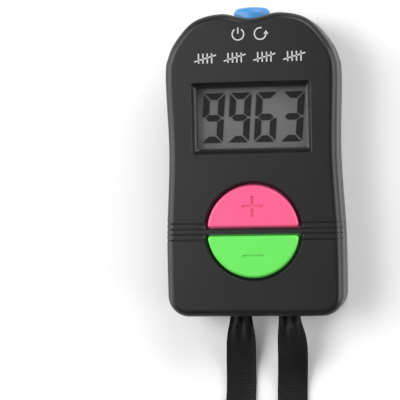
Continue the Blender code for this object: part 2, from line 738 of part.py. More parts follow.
def make_display():
    plate("display_window", LENS_SIZE, LENS_TOP, LENS_THICKNESS, clear_plastic())
    plate("lcd_polariser", POLARISER_SIZE, POLARISER_TOP, POLARISER_THICKNESS, display_film())
    plate("lcd_front_glass", FRONT_GLASS_SIZE, FRONT_GLASS_TOP, GLASS_THICKNESS, display_glass())
    plate("lcd_rear_glass", REAR_GLASS_SIZE, REAR_GLASS_TOP, GLASS_THICKNESS, display_glass())
    reflector_size = (REAR_GLASS_SIZE[0] - 2 * MM, REAR_GLASS_SIZE[1] - 1 * MM)
    plate("lcd_reflector", reflector_size, REFLECTOR_TOP, POLARISER_THICKNESS, steel())
    strip_top = FRONT_GLASS_TOP - GLASS_THICKNESS - GAP
    strip_low = BOARD_TOP + GAP
    strip_middle = REAR_GLASS_SIZE[1] / 2 + GAP + STRIP_WIDTH / 2
    for name, side in (("contact_strip_upper", 1), ("contact_strip_lower", -1)):
        outline = rectangle(STRIP_LENGTH, STRIP_WIDTH, (0.0, DISPLAY_Y + side * strip_middle))
        node(name, prism(name, outline, strip_low, strip_top), strip_rubber())
    inner = (FRONT_GLASS_SIZE[0] + 2 * GAP, FRONT_GLASS_SIZE[1] + 2 * GAP)
    outer = (inner[0] + 2 * FRAME_WALL, inner[1] + 2 * FRAME_WALL)
    frame = prism("lcd_frame", rectangle(*outer, (0.0, DISPLAY_Y), MM), strip_low, POLARISER_TOP)
    piece = node("lcd_frame", frame, frame_plastic())
    room = rectangle(*inner, (0.0, DISPLAY_Y))
    cut(piece, prism("lcd_room", room, strip_low - GAP, POLARISER_TOP + GAP))


def make_main_board():
    outline = (
        (-BOARD_HALF_WIDTH, BOARD_LOW_Y),
        (BOARD_HALF_WIDTH, BOARD_LOW_Y),
        (BOARD_HALF_WIDTH, BOARD_SHOULDER_Y),
        (BOARD_TONGUE_HALF_WIDTH, BOARD_SHOULDER_Y),
        (BOARD_TONGUE_HALF_WIDTH, BOARD_HIGH_Y),
        (-BOARD_TONGUE_HALF_WIDTH, BOARD_HIGH_Y),
        (-BOARD_TONGUE_HALF_WIDTH, BOARD_SHOULDER_Y),
        (-BOARD_HALF_WIDTH, BOARD_SHOULDER_Y),
    )
    piece = node("main_board", prism("main_board", outline, BOARD_UNDER, BOARD_TOP), board_laminate())
    bore = BOARD_SCREW_RADIUS + GAP
    for _, x, y in BOARD_SCREWS:
        profile = ((bore, BOARD_UNDER - GAP), (bore, BOARD_TOP + GAP))
        cut(piece, turned("board_hole", profile, (x, y), 16))


def make_board_parts():
    """The parts soldered to the back of the board, behind the display."""
    top = BOARD_UNDER - GAP
    chip_radius = 5.0 * MM
    chip_height = 1.2 * MM
    profile = []
    for i in range(5):
        angle = math.pi / 2 * (1 - i / 5)
        radius = chip_radius * (0.25 + 0.75 * math.cos(angle))
        profile.append((radius, top - chip_height * math.sin(angle)))
    profile.append((chip_radius, top))
    node("counter_chip", turned("counter_chip", profile, (0.0, DISPLAY_Y)), chip_resin())
    can_radius = 1.0 * MM
    can = ((can_radius, 7.0 * MM), (can_radius, 13.0 * MM))
    crystal = turned_along_x("clock_crystal", can, (DISPLAY_Y - 9 * MM, top - can_radius), 16)
    node("clock_crystal", crystal, steel())
    chips = (
        ("capacitor_left", -11.0 * MM, DISPLAY_Y - 8 * MM, ceramic()),
        ("capacitor_right", -7.0 * MM, DISPLAY_Y - 8 * MM, ceramic()),
        ("resistor", 10.0 * MM, DISPLAY_Y - 4 * MM, chip_resin()),
    )
    half_size = (1.0 * MM, 0.63 * MM)
    height = 0.8 * MM
    for name, x, y, finish in chips:
        low = (x - half_size[0], y - half_size[1], top - height)
        high = (x + half_size[0], y + half_size[1], top)
        node(name, box(name, low, high), finish)


def bent_strip(name, path, thickness, low_y, high_y):
    """A bent sheet-metal strip whose middle line is path, in x and z, with a constant width along Y."""
    ahead = []
    behind = []
    for i, here in enumerate(path):
        start = path[max(i - 1, 0)]
        end = path[min(i + 1, len(path) - 1)]
        along = Vector((end[0] - start[0], end[1] - start[1])).normalized()
        ahead.append((here[0] - along.y * thickness / 2, here[1] + along.x * thickness / 2))
        behind.append((here[0] + along.y * thickness / 2, here[1] - along.x * thickness / 2))
    outline = ahead + list(reversed(behind))
    return skin(name, [[Vector((x, y, z)) for x, z in outline] for y in (low_y, high_y)])


def make_battery():
    centre = (0.0, BUTTONS_Y)
    ease = 0.25 * MM
    shoulder = CELL_UNDER + CELL_HEIGHT - 0.35 * MM
    profile = (
        (CELL_RADIUS - ease, CELL_UNDER),
        (CELL_RADIUS, CELL_UNDER + ease),
        (CELL_RADIUS, shoulder - ease),
        (CELL_RADIUS - ease, shoulder),
        (CELL_CAP_RADIUS, shoulder),
        (CELL_CAP_RADIUS, CELL_UNDER + CELL_HEIGHT),
    )
    node("button_cell", turned("button_cell", profile, centre, 32), steel())
    solder_z = BOARD_UNDER - GAP - CONTACT_THICKNESS / 2
    touch_z = CELL_UNDER + CELL_HEIGHT + GAP + CONTACT_THICKNESS / 2
    half = 1.5 * MM
    leaf = [(-5.0 * MM, solder_z), (-3.0 * MM, solder_z), (1.0 * MM, touch_z), (3.0 * MM, touch_z)]
    leaf.append((4.0 * MM, touch_z + GAP))
    strip = bent_strip("negative_contact", leaf, CONTACT_THICKNESS, BUTTONS_Y - half, BUTTONS_Y + half)
    node("negative_contact", strip, spring_metal())
    side_x = CELL_RADIUS + GAP + CONTACT_THICKNESS
    half = 1.1 * MM
    clip = [(side_x, DOOR_HUB_TOP + GAP), (side_x, solder_z - 0.4 * MM)]
    clip += [(side_x + 0.4 * MM, solder_z), (8.3 * MM, solder_z)]
    strip = bent_strip("positive_contact", clip, CONTACT_THICKNESS, BUTTONS_Y - half, BUTTONS_Y + half)
    node("positive_contact", strip, spring_metal())


def make_screw(name, x, y, head_low, head_height, head_radius, radius, length):
    """A self-tapping pan-head screw pointing up, with a cross recess in its head."""
    head_top = head_low + head_height
    tip = head_top + length
    profile = (
        (head_radius * 0.72, head_low),
        (head_radius * 0.94, head_low + head_height * 0.3),
        (head_radius, head_low + head_height * 0.65),
        (head_radius, head_top),
        (radius, head_top),
        (radius, tip - 1.5 * radius),
        (radius * 0.25, tip),
    )
    piece = node(name, turned(name, profile, (x, y), 20), steel())
    reach = head_radius * 0.6
    for half_x, half_y in ((reach, RECESS_HALF_STROKE), (RECESS_HALF_STROKE, reach)):
        low = (x - half_x, y - half_y, head_low - GAP)
        high = (x + half_x, y + half_y, head_low + RECESS_DEPTH)
        cut(piece, box("cross_recess", low, high))


def make_screws():
    for name, x, y in CASE_SCREWS:
        make_screw(
            name,
            x,
            y,
            CASE_SCREW_HEAD_TOP - CASE_SCREW_HEAD_HEIGHT,
            CASE_SCREW_HEAD_HEIGHT,
            CASE_SCREW_HEAD_RADIUS,
            CASE_SCREW_RADIUS,
            CASE_SCREW_LENGTH,
        )
    for name, x, y in BOARD_SCREWS:
        make_screw(
            name,
            x,
            y,
            BOARD_UNDER - GAP - BOARD_SCREW_HEAD_HEIGHT,
            BOARD_SCREW_HEAD_HEIGHT,
            BOARD_SCREW_HEAD_RADIUS,
            BOARD_SCREW_RADIUS,
            BOARD_SCREW_LENGTH,
        )


def make_ribbon_bar():
    profile = ((BAR_RADIUS, -BAR_HALF_LENGTH), (BAR_RADIUS, BAR_HALF_LENGTH))
    node("ribbon_bar", turned_along_x("ribbon_bar", profile, (BAR_Y, BAR_Z), 20), steel())


def make_strand(name, route):
    """One free stretch of the ribbon, as a flat strip that turns about its own middle line."""
    rows = through(route, STRAND_STEPS)
    points = [Vector(row[:3]) * MM for row in rows]
    turns = [math.radians(row[3]) for row in rows]
    loops = []
    for i, here in enumerate(points):
        along = points[min(i + 1, len(points) - 1)] - points[max(i - 1, 0)]
        along.normalize()
        flat = along.cross(Vector((0.0, 0.0, 1.0))).normalized()
        up = flat.cross(along)
        across = (flat * math.cos(turns[i]) + up * math.sin(turns[i])) * RIBBON_WIDTH / 2
        out = (up * math.cos(turns[i]) - flat * math.sin(turns[i])) * RIBBON_THICKNESS / 2
        corners = (across + out, out - across, -across - out, across - out)
        loops.append([here + corner for corner in corners])
    node(name, skin(name, loops), ribbon_fabric())


def capsule(radius, steps=20):
    """An oval around the coil's core line, with round ends."""
    points = []
    for centre_y, start in ((COIL_NEAR_Y, 0.0), (COIL_FAR_Y, math.pi)):
        for i in range(steps + 1):
            angle = start + math.pi * i / steps
            points.append((radius * math.cos(angle), centre_y + radius * math.sin(angle)))
    return points


def make_ribbon_coil():
    top = COIL_UNDER + RIBBON_WIDTH
    coil = prism("ribbon_coil", capsule(COIL_OUTER_RADIUS), COIL_UNDER, top)
    piece = node("ribbon_coil", coil, ribbon_fabric())
    cut(piece, prism("coil_hole", capsule(COIL_INNER_RADIUS), COIL_UNDER - GAP, top + GAP))
    middle_x = -(COIL_OUTER_RADIUS + COIL_INNER_RADIUS) / 2
    middle_y = (COIL_NEAR_Y + COIL_FAR_Y) / 2
    middle_z = COIL_UNDER + RIBBON_WIDTH / 2
    inner = (COIL_OUTER_RADIUS - COIL_INNER_RADIUS + 2 * GAP, RIBBON_WIDTH + 2 * GAP)
    outer = (inner[0] + 2 * TIE_THICKNESS, inner[1] + 2 * TIE_THICKNESS)
    meshes = []
    for name, size, radius, reach in (("ribbon_tie", outer, 0.8, 0.5), ("tie_room", inner, 0.35, 0.6)):
        outline = rectangle(*size, (middle_x, middle_z), radius * MM)
        depths = (middle_y - reach * TIE_WIDTH, middle_y + reach * TIE_WIDTH)
        meshes.append(skin(name, [[Vector((x, y, z)) for x, z in outline] for y in depths]))
    tie = node("ribbon_tie", meshes[0], strip_rubber())
    cut(tie, meshes[1])


def main():
    for item in list(bpy.data.objects):
        bpy.data.objects.remove(item)
    make_front_case()
    make_rear_case()
    make_battery_door()
    make_counting_button("plus_button", 1, pink_plastic())
    make_counting_button("minus_button", -1, green_plastic())
    make_reset_button()
    make_upright_switch("plus", BUTTONS_Y + SWITCH_OFFSET)
    make_upright_switch("minus", BUTTONS_Y - SWITCH_OFFSET)
    make_reset_switch()
    make_display()
    make_main_board()
    make_board_parts()
    make_battery()
    make_screws()
    make_ribbon_bar()
    make_strand("ribbon_strand_right", RIGHT_STRAND)
    make_strand("ribbon_strand_left", LEFT_STRAND)
    make_ribbon_coil()


main()
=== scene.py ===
"""Looks of the hand-held tally counter: camera, ribbon, shells, buttons, display, materials and light.

Lengths are in metres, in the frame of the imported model: X across the case, Y towards the reset button and Z
out of the display face.
"""

import math

import bmesh
import bpy
from mathutils import Matrix, Vector


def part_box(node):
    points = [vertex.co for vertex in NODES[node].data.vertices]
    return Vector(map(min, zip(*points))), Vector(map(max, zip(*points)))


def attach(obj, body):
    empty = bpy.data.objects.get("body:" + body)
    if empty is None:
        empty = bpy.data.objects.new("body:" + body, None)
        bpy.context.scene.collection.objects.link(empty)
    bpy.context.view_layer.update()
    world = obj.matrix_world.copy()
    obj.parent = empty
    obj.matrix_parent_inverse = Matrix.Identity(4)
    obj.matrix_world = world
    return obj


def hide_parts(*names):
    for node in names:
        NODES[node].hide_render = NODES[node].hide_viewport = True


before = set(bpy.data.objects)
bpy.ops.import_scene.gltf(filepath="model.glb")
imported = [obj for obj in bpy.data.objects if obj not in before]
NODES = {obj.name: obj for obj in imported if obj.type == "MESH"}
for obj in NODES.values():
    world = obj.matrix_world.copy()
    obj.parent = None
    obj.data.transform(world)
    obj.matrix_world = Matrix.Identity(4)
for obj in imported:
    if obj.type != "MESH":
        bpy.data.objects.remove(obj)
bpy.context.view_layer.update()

MM = 0.001
GAP = 0.3 * MM


def low(node, axis):
    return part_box(node)[0][axis]


def high(node, axis):
    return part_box(node)[1][axis]


def middle(node, axis):
    return (low(node, axis) + high(node, axis)) / 2


# The case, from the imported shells.
BOTTOM = low("front_case", 1)
FACE = high("front_case", 2)
WALL = 1.6 * MM
CEILING = FACE - WALL
SEAM = 6.4 * MM
CORNER_RADIUS = 5.0 * MM
SIDE_POINTS = (
    (20.7, 5.0),
    (20.65, 19.0),
    (19.75, 38.0),
    (20.2, 55.8),
    (19.5, 60.9),
    (17.3, 65.1),
    (13.05, 69.3),
    (6.75, 70.75),
    (0.0, 69.55),
)
CHAMFER = 1.15 * MM
FACE_MARGIN = 1.5 * MM
TONGUE_INSET = 0.95 * MM
TONGUE_HEIGHT = 1.2 * MM
LIP = 0.25 * MM  # how far the moulded edges are rounded
SEAM_EASE = (0.15 * MM, 0.12 * MM)  # across and along the side of the case
SHELL_EASE = 0.95 * MM
REAR_EDGE_RADIUS = 1.5 * MM
OVERRUN = 0.05 * MM  # of a cutter past the face that it opens
LIP_OVERRUN = 0.04 * MM
EDGE_EASE = 0.18 * MM  # of the keys and the battery door
FLOOR_BITE = WALL / 2  # how deep a rib or boss is rooted in its wall
BOARD_TOP = high("main_board", 2)
BOARD_UNDER = low("main_board", 2)

# The display.
DISPLAY_Y = middle("display_window", 1)
WINDOW_TOP = (28.0 * MM, 16.6 * MM)
WINDOW_FLOOR = (25.5 * MM, 14.1 * MM)
WINDOW_CORNER = 0.8 * MM
WINDOW_FOOT_SLOPE = 0.35  # of the window's walls at their foot, as a share of the mean slope
FILM_THICKNESS = 0.05 * MM
FILM_CORNER = 0.4 * MM
DIGIT_LIFT = 0.12 * MM  # of the digits above the film

# The counting buttons.
BUTTONS_Y = middle("battery_door", 1)
BUTTON_RADIUS = 10.75 * MM
BUTTON_HALF_SLIT = 1.0 * MM
BUTTON_TOP = high("plus_button", 2)
BUTTON_UNDER = low("plus_button", 2)
BUTTON_BEVEL = 0.4 * MM
OPENING_RADIUS = BUTTON_RADIUS + GAP
COUNTERSINK_RADIUS = 11.75 * MM
COUNTERSINK_EASE = 0.15 * MM
OPENING_CORNER = 0.3 * MM
BRIDGE_HALF_WIDTH = 0.62 * MM
BRIDGE_TAPER = 0.15
FLANGE_RADIUS = 11.9 * MM
FLANGE_THICKNESS = 1.0 * MM
SIGN_OFFSET = 5.8 * MM
SIGN_REACH = 2.45 * MM
SIGN_HALF_STROKE = 0.34 * MM
SIGN_DEPTH = 0.35 * MM
SIGN_CORNER = 0.1 * MM
SIGN_EDGE = ((0.02 * MM, -0.08 * MM), (0.1 * MM, 0.05 * MM), (0.1 * MM, 0.3 * MM))  # growth and height
SWITCH_OFFSET = 5.4 * MM
STEM_RADIUS = 1.7 * MM
KEY_CORNER_RADIUS = 0.7 * MM
GROOVE_OFFSETS = (0.62 * MM, 1.95 * MM)
GROOVE_WIDTH = 0.3 * MM
GROOVE_DEPTH = 0.4 * MM
GROOVE_SHOULDER = 0.12 * MM
GROOVE_FLOOR_SHARE = 0.6  # of its width, at the bottom
GROOVE_MOUTH_SHARE = 1.8  # of its width, where it opens onto the face
GROOVE_START = 0.985 * COUNTERSINK_RADIUS
GROOVE_REACH = 22.0 * MM  # out past the side of the case
EDGE_NOTCH_DEPTH = 0.35 * MM
EDGE_NOTCH_HEIGHT = 2.6 * MM

# The reset button.
RESET_HALF_WIDTH = 4.3 * MM
RESET_HALF_HEIGHT = 2.9 * MM
RESET_Z = 9.2 * MM
RESET_TIP = high("reset_button", 1)
RESET_FLANGE_TOP = BOTTOM + 67.3 * MM
RESET_STEM_END = low("reset_button", 1)
RESET_DOME = 1.5 * MM
RESET_CROWN_RISE = 0.25 * MM
RESET_FLANGE_RIM = 0.9 * MM
RESET_FLANGE_THICKNESS = 0.9 * MM
RESET_FLANGE_BEVEL = 0.1 * MM
RESET_STEM_Z = middle("reset_switch_plunger", 2)

# Screws, battery door and ribbon bar.
CASE_SCREWS = tuple(n for n in sorted(NODES) if n.startswith("case_screw"))
BOARD_SCREWS = tuple(n for n in sorted(NODES) if n.startswith("board_screw"))
CASE_SCREW_BORE = 1.3 * MM
BOARD_SCREW_BORE = 1.1 * MM
WELL_RADIUS = 2.2 * MM
WELL_DEPTH = 2.4 * MM
REAR_BOSS_RADIUS = 3.3 * MM
REAR_BOSS_TOP = 5.4 * MM
FRONT_BOSS_RADIUS = 2.5 * MM
BOARD_POST_RADIUS = 2.0 * MM
CELL_CUP_RADIUS = 6.1 * MM
DOOR_RADIUS = 8.6 * MM
DOOR_THICKNESS = 0.6 * MM
DOOR_RIM = 1.0 * MM
DOOR_HUB_RADIUS = 6.7 * MM
DOOR_HUB_RIM = 0.8 * MM
DOOR_HUB_TOP = high("battery_door", 2)
DOOR_FLOOR = 1.2 * MM
LUG_RADIUS = 8.2 * MM
LUG_TOP = 2.6 * MM
LUG_HALF_ANGLE = math.radians(17)
NOTCH_HALF_ANGLE = LUG_HALF_ANGLE + math.radians(3)
BATTERY_WELL_WALL = 1.0 * MM
SEAT_LIP = 0.2 * MM
DOOR_TURN = math.radians(45)
COIN_SLOT = (10.5 * MM, 1.7 * MM, 0.7 * MM)  # length, width and depth
COIN_SLOT_EDGE = ((0.25 * MM, -0.05 * MM), (0.05 * MM, 0.12 * MM), (0.0, 0.25 * MM))  # growth and depth
DOOR_MARK_REACH = 0.83 * DOOR_RADIUS
DOOR_MARK_RADIUS = 0.5 * MM
SLOT_HALF_WIDTH = 11.2 * MM
SLOT_LOW = 4.3 * MM
SLOT_HIGH = 10.8 * MM
SLOT_CORNER = 1.2 * MM
BAR_Y = middle("ribbon_bar", 1)
BAR_Z = middle("ribbon_bar", 2)
BAR_RADIUS = (high("ribbon_bar", 2) - low("ribbon_bar", 2)) / 2
EAR_REACH = 2.1 * MM  # of the bar's lugs past its middle


# ---- Camera ----

CAMERA_AZIMUTH = math.radians(9.6)
CAMERA_ELEVATION = math.radians(1.9)
CAMERA_ROLL = math.radians(-1.25)
CAMERA_DISTANCE = 0.4
CAMERA_TARGET = Vector((-12.35 * MM, -8.7 * MM, FACE))
CAMERA_LENS = 154.2


def make_camera():
    data = bpy.data.cameras.new("camera")
    data.sensor_width = 36.0
    data.lens = CAMERA_LENS
    camera = bpy.data.objects.new("camera", data)
    bpy.context.scene.collection.objects.link(camera)
    away = Vector(
        (
            math.sin(CAMERA_AZIMUTH) * math.cos(CAMERA_ELEVATION),
            math.sin(CAMERA_ELEVATION),
            math.cos(CAMERA_AZIMUTH) * math.cos(CAMERA_ELEVATION),
        )
    )
    level = Vector((0.0, 1.0, 0.0)).cross(away).normalized()
    upright = away.cross(level)
    right = level * math.cos(CAMERA_ROLL) + upright * math.sin(CAMERA_ROLL)
    up = upright * math.cos(CAMERA_ROLL) - level * math.sin(CAMERA_ROLL)
    turn = Matrix((right, up, away)).transposed().to_4x4()
    camera.matrix_world = Matrix.Translation(CAMERA_TARGET + away * CAMERA_DISTANCE) @ turn
    bpy.context.scene.camera = camera


# ---- Mesh tools ----


def spread(start, end, steps):
    """Evenly spaced numbers from start to end, both included."""
    return [start + (end - start) * i / steps for i in range(steps + 1)]


def skin(name, loops, ring=False):
    """A closed mesh over loops with the same number of points: a capped stack or, if asked, a ring."""
    mesh = bpy.data.meshes.new(name)
    work = bmesh.new()
    rings = [[work.verts.new(point) for point in loop] for loop in loops]
    for below, above in zip(rings, rings[1:] + rings[:1] if ring else rings[1:]):
        for i, corner in enumerate(below):
            j = (i + 1) % len(below)
            work.faces.new((corner, below[j], above[j], above[i]))
    if not ring:
        work.faces.new(list(reversed(rings[0])))
        work.faces.new(rings[-1])
    bmesh.ops.recalc_face_normals(work, faces=work.faces)
    work.to_mesh(mesh)
    work.free()
    return mesh


def at_height(outline, z):
    return [Vector((x, y, z)) for x, y in outline]


def prism(name, outline, base, top):
    return skin(name, [at_height(outline, base), at_height(outline, top)])


def rectangle(width, height, centre=(0.0, 0.0), radius=0.0, steps=8):
    """Corner points of a rectangle, counter-clockwise, with rounded corners if radius is given."""
    points = []
    for quarter, (sx, sy) in enumerate(((1, 1), (-1, 1), (-1, -1), (1, -1))):
        cx = centre[0] + sx * (width / 2 - radius)
        cy = centre[1] + sy * (height / 2 - radius)
        for i in range(steps + 1 if radius else 1):
            angle = math.pi / 2 * (quarter + i / steps)
            points.append((cx + radius * math.cos(angle), cy + radius * math.sin(angle)))
    return points


def circle(radius, centre=(0.0, 0.0), steps=64, scale=1.0):
    angles = spread(0.0, 2 * math.pi, steps)[:-1]
    return [
        (centre[0] + radius * math.cos(a), centre[1] + radius * scale * math.sin(a)) for a in angles
    ]


def wedge(radius, direction, half_angle, centre, steps=12):
    """Outline of a slice of a disc."""
    arc = spread(direction - half_angle, direction + half_angle, steps)
    return [centre] + [(centre[0] + radius * math.cos(a), centre[1] + radius * math.sin(a)) for a in arc]


def turned(name, profile, centre, steps=64):
    """A round piece about a vertical axis, from (radius, z) pairs."""
    return skin(name, [at_height(circle(r, centre, steps), z) for r, z in profile])


def pillar(name, radius, base, top, centre, steps=96):
    """A round bar about a vertical axis."""
    return turned(name, ((radius, base), (radius, top)), centre, steps)


def turned_along_y(name, profile, centre, steps=64, scale=1.0):
    """A round or elliptical piece about an axis along Y, from (half width, y) pairs; centre is x and z."""
    loops = []
    for radius, y in profile:
        loops.append([Vector((x, y, z)) for x, z in circle(radius, centre, steps, scale)])
    return skin(name, loops)


def turned_along_x(name, profile, centre, steps=32):
    """A round piece about an axis along X, from (radius, x) pairs; centre is y and z."""
    return skin(name, [[Vector((x, y, z)) for y, z in circle(r, centre, steps)] for r, x in profile])


def box(name, corner, opposite):
    centre = ((corner[0] + opposite[0]) / 2, (corner[1] + opposite[1]) / 2)
    outline = rectangle(opposite[0] - corner[0], opposite[1] - corner[1], centre)
    return prism(name, outline, corner[2], opposite[2])


def eased(profile, ease, steps=4):
    """The open profile with each corner between its ends rounded off over the distance ease."""
    points = [Vector(point) for point in profile]
    result = [points[0]]
    for before, corner, after in zip(points, points[1:], points[2:]):
        back = before - corner
        ahead = after - corner
        start = corner + back.normalized() * min(ease, 0.45 * back.length)
        end = corner + ahead.normalized() * min(ease, 0.45 * ahead.length)
        for t in spread(0.0, 1.0, steps):
            result.append(start * (1 - t) ** 2 + corner * 2 * t * (1 - t) + end * t**2)
    result.append(points[-1])
    return [tuple(point) for point in result]


def through(points, steps):
    """Points on a smooth curve through the given points, which may have any number of values."""
    rows = [Vector(point) for point in points]
    result = []
    for i in range(len(rows) - 1):
        before = rows[max(i - 1, 0)]
        start, end = rows[i], rows[i + 1]
        after = rows[min(i + 2, len(rows) - 1)]
        for step in range(steps):
            t = step / steps
            pull = (end - before) * (t - 2 * t**2 + t**3) / 2
            push = (after - start) * (t**3 - t**2) / 2
            result.append(start * (1 - 3 * t**2 + 2 * t**3) + end * (3 * t**2 - 2 * t**3) + pull + push)
    result.append(rows[-1])
    return result


def case_outline(inset=0.0):
    """The outline of the case seen from the front, moved inwards by inset."""
    corner_steps = 12
    side_steps = 10
    corner = []
    for angle in spread(-math.pi / 2, 0.0, corner_steps)[:-1]:
        x = SIDE_POINTS[0][0] * MM + CORNER_RADIUS * (math.cos(angle) - 1)
        corner.append((x, CORNER_RADIUS * (math.sin(angle) + 1)))
    past_middle = (-SIDE_POINTS[-2][0], SIDE_POINTS[-2][1])
    side = through(SIDE_POINTS + (past_middle,), side_steps)[:-side_steps]
    right = corner + [(point[0] * MM, point[1] * MM) for point in side]
    left = [(-x, y) for x, y in reversed(right[:-1])]
    outline = [(x, y + BOTTOM) for x, y in right + left]
    moved = []
    for i, here in enumerate(outline):
        before = outline[i - 1]
        after = outline[(i + 1) % len(outline)]
        along = Vector((after[0] - before[0], after[1] - before[1])).normalized()
        moved.append((here[0] - along.y * inset, here[1] + along.x * inset))
    return moved


def case_loft(name, layers):
    """A closed solid from (inset, z) pairs of the case outline, lowest first."""
    return skin(name, [at_height(case_outline(inset), z) for inset, z in layers])


def half_disc(radius, flat, side, corner=0.5 * MM, steps=56):
    """Half a disc with rounded corners; side is +1 for the upper half and -1 for the lower."""
    reach = radius - corner
    tilt = math.asin((flat + corner) / reach)
    centre = (reach * math.cos(tilt), flat + corner)
    right = []
    for angle in spread(-math.pi / 2, tilt, 8):
        right.append((centre[0] + corner * math.cos(angle), centre[1] + corner * math.sin(angle)))
    arc = [(radius * math.cos(a), radius * math.sin(a)) for a in spread(tilt, math.pi - tilt, steps)]
    left = [(-x, y) for x, y in reversed(right)]
    return [(x, BUTTONS_Y + side * y) for x, y in right + arc[1:-1] + left]


def link(name, mesh):
    piece = bpy.data.objects.new(name, mesh)
    bpy.context.scene.collection.objects.link(piece)
    return piece


def carved(mesh, steps):
    """The mesh after a list of (operation, mesh) Booleans, which are applied and cleared away."""
    piece = link("carving", mesh)
    helpers = []
    for operation, tool in steps:
        helper = link(tool.name, tool)
        helpers.append(helper)
        step = piece.modifiers.new(tool.name, "BOOLEAN")
        step.operation = operation
        step.solver = "EXACT"
        step.object = helper
    graph = bpy.context.evaluated_depsgraph_get()
    result = bpy.data.meshes.new_from_object(piece.evaluated_get(graph))
    for used in helpers + [piece]:
        bpy.data.objects.remove(used)
    return result


def cut(*meshes):
    return [("DIFFERENCE", mesh) for mesh in meshes]


def add(*meshes):
    return [("UNION", mesh) for mesh in meshes]


def finished(name, mesh, finish, body, node, sharp=35):
    """A shown piece: smooth shading with crisp edges, one material, riding on a body for a CAD node."""
    mesh.materials.clear()
    mesh.materials.append(finish)
    mesh.shade_smooth()
    mesh.set_sharp_from_angle(angle=math.radians(sharp))
    piece = link(name, mesh)
    weights = piece.modifiers.new("weights", "WEIGHTED_NORMAL")
    weights.keep_sharp = True
    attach(piece, body)
    if node:
        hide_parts(node)
    return piece


# ---- Material tools ----


class Finish:
    """A Principled material whose node tree is built up step by step, on the object's own coordinates."""

    def __init__(self, name, colour, roughness, **values):
        self.material = bpy.data.materials.new(name)
        self.material.use_nodes = True
        self.tree = self.material.node_tree
        self.shader = self.tree.nodes["Principled BSDF"]
        self.colour = (*colour, 1.0)
        self.roughness = roughness
        self.shader.inputs["Base Color"].default_value = self.colour
        self.shader.inputs["Roughness"].default_value = roughness
        for socket, value in values.items():
            self.shader.inputs[socket.replace("_", " ")].default_value = value
        self.place = self.node("ShaderNodeTexCoord").outputs["Object"]
        self.height = None

    def node(self, kind, inputs=None, **settings):
        made = self.tree.nodes.new(kind)
        for key, value in settings.items():
            setattr(made, key, value)
        for key, value in (inputs or {}).items():
            if isinstance(value, bpy.types.NodeSocket):
                self.tree.links.new(value, made.inputs[key])
            else:
                made.inputs[key].default_value = value
        return made

    def math(self, operation, first, second=0.0, third=0.0):
        inputs = {0: first, 1: second, 2: third}
        return self.node("ShaderNodeMath", inputs, operation=operation).outputs[0]

    def stretched(self, scale, vector=None):
        """The coordinates scaled along each axis."""
        return self.node("ShaderNodeMapping", {"Vector": vector or self.place, "Scale": scale}).outputs[0]

    def noise(self, size, detail=2.0, roughness=0.5, vector=None):
        """Noise from 0 to 1 whose blobs are about size across."""
        inputs = {
            "Vector": vector or self.place,
            "Scale": 1 / size,
            "Detail": detail,
            "Roughness": roughness,
        }
        return self.node("ShaderNodeTexNoise", inputs).outputs["Fac"]

    def wave(self, size, vector=None, inputs=None, **settings):
        """Bands from 0 to 1, about three of them to each size."""
        values = {"Vector": vector or self.place, "Scale": 1 / size, **(inputs or {})}
        return self.node("ShaderNodeTexWave", values, **settings).outputs["Fac"]

    def ramp(self, value, start, end, first=0.0, last=1.0):
        """The value moved from the range start to end onto the range first to last, and held there."""
        inputs = {0: value, 1: start, 2: end, 3: first, 4: last}
        return self.node("ShaderNodeMapRange", inputs, clamp=True).outputs[0]

    def paint(self, mask, colour):
        """The colour laid over what is there, where mask is 1."""
        source = self.shader.inputs["Base Color"]
        under = source.links[0].from_socket if source.is_linked else self.colour
        mix = self.node("ShaderNodeMix", {0: mask, 6: under, 7: (*colour, 1.0)}, data_type="RGBA")
        self.tree.links.new(mix.outputs[2], source)

    def polish(self, mask, roughness):
        """The roughness where mask is 1."""
        source = self.shader.inputs["Roughness"]
        under = source.links[0].from_socket if source.is_linked else self.roughness
        mix = self.node("ShaderNodeMix", {0: mask, 2: under, 3: roughness}, data_type="FLOAT")
        self.tree.links.new(mix.outputs[0], source)

    def relief(self, height, depth):
        """Raises the surface by height times depth, on top of any earlier relief."""
        inputs = {"Height": height, "Distance": depth}
        if self.height is not None:
            inputs["Normal"] = self.height
        self.height = self.node("ShaderNodeBump", inputs).outputs[0]
        self.tree.links.new(self.height, self.shader.inputs["Normal"])

    def mottle(self, size, start, share, colour, detail=2.0):
        """Soft blotches of a colour, up to share of full strength."""
        self.paint(self.ramp(self.noise(size, detail), start, 0.7, 0.0, share), colour)

    def grain(self, size, depth, detail=2.0):
        """A fine bumpy surface."""
        self.relief(self.noise(size, detail), depth)

    def edges(self, radius):
        """About 1 on edges that are sharper than radius, and 0 on flat places."""
        bevel = self.node("ShaderNodeBevel", {"Radius": radius}, samples=4).outputs[0]
        flat = self.node("ShaderNodeNewGeometry").outputs["Normal"]
        dot = self.node("ShaderNodeVectorMath", {0: bevel, 1: flat}, operation="DOT_PRODUCT")
        return self.ramp(dot.outputs["Value"], 0.995, 0.85)


# ---- Materials ----


def moulded_black():
    """Black ABS with a fine spark-eroded texture, a little dust and edges worn smooth."""
    finish = Finish("moulded_black", (0.009, 0.009, 0.0095), 0.32, Specular_IOR_Level=0.38)
    cloud = finish.noise(14 * MM, 3.0)
    finish.paint(finish.ramp(cloud, 0.35, 0.75, 0.0, 0.6), (0.012, 0.012, 0.0125))
    finish.polish(finish.ramp(cloud, 0.3, 0.7), 0.36)
    dust = finish.ramp(finish.noise(0.22 * MM, 1.0), 0.76, 0.82, 0.0, 0.35)
    finish.paint(dust, (0.045, 0.045, 0.045))
    worn = finish.edges(0.25 * MM)
    finish.paint(finish.math("MULTIPLY", worn, 0.3), (0.04, 0.04, 0.042))
    finish.relief(finish.noise(0.14 * MM, 2.0, 0.6), 0.006 * MM)
    finish.grain(5 * MM, 0.012 * MM, 1.0)
    return finish.material


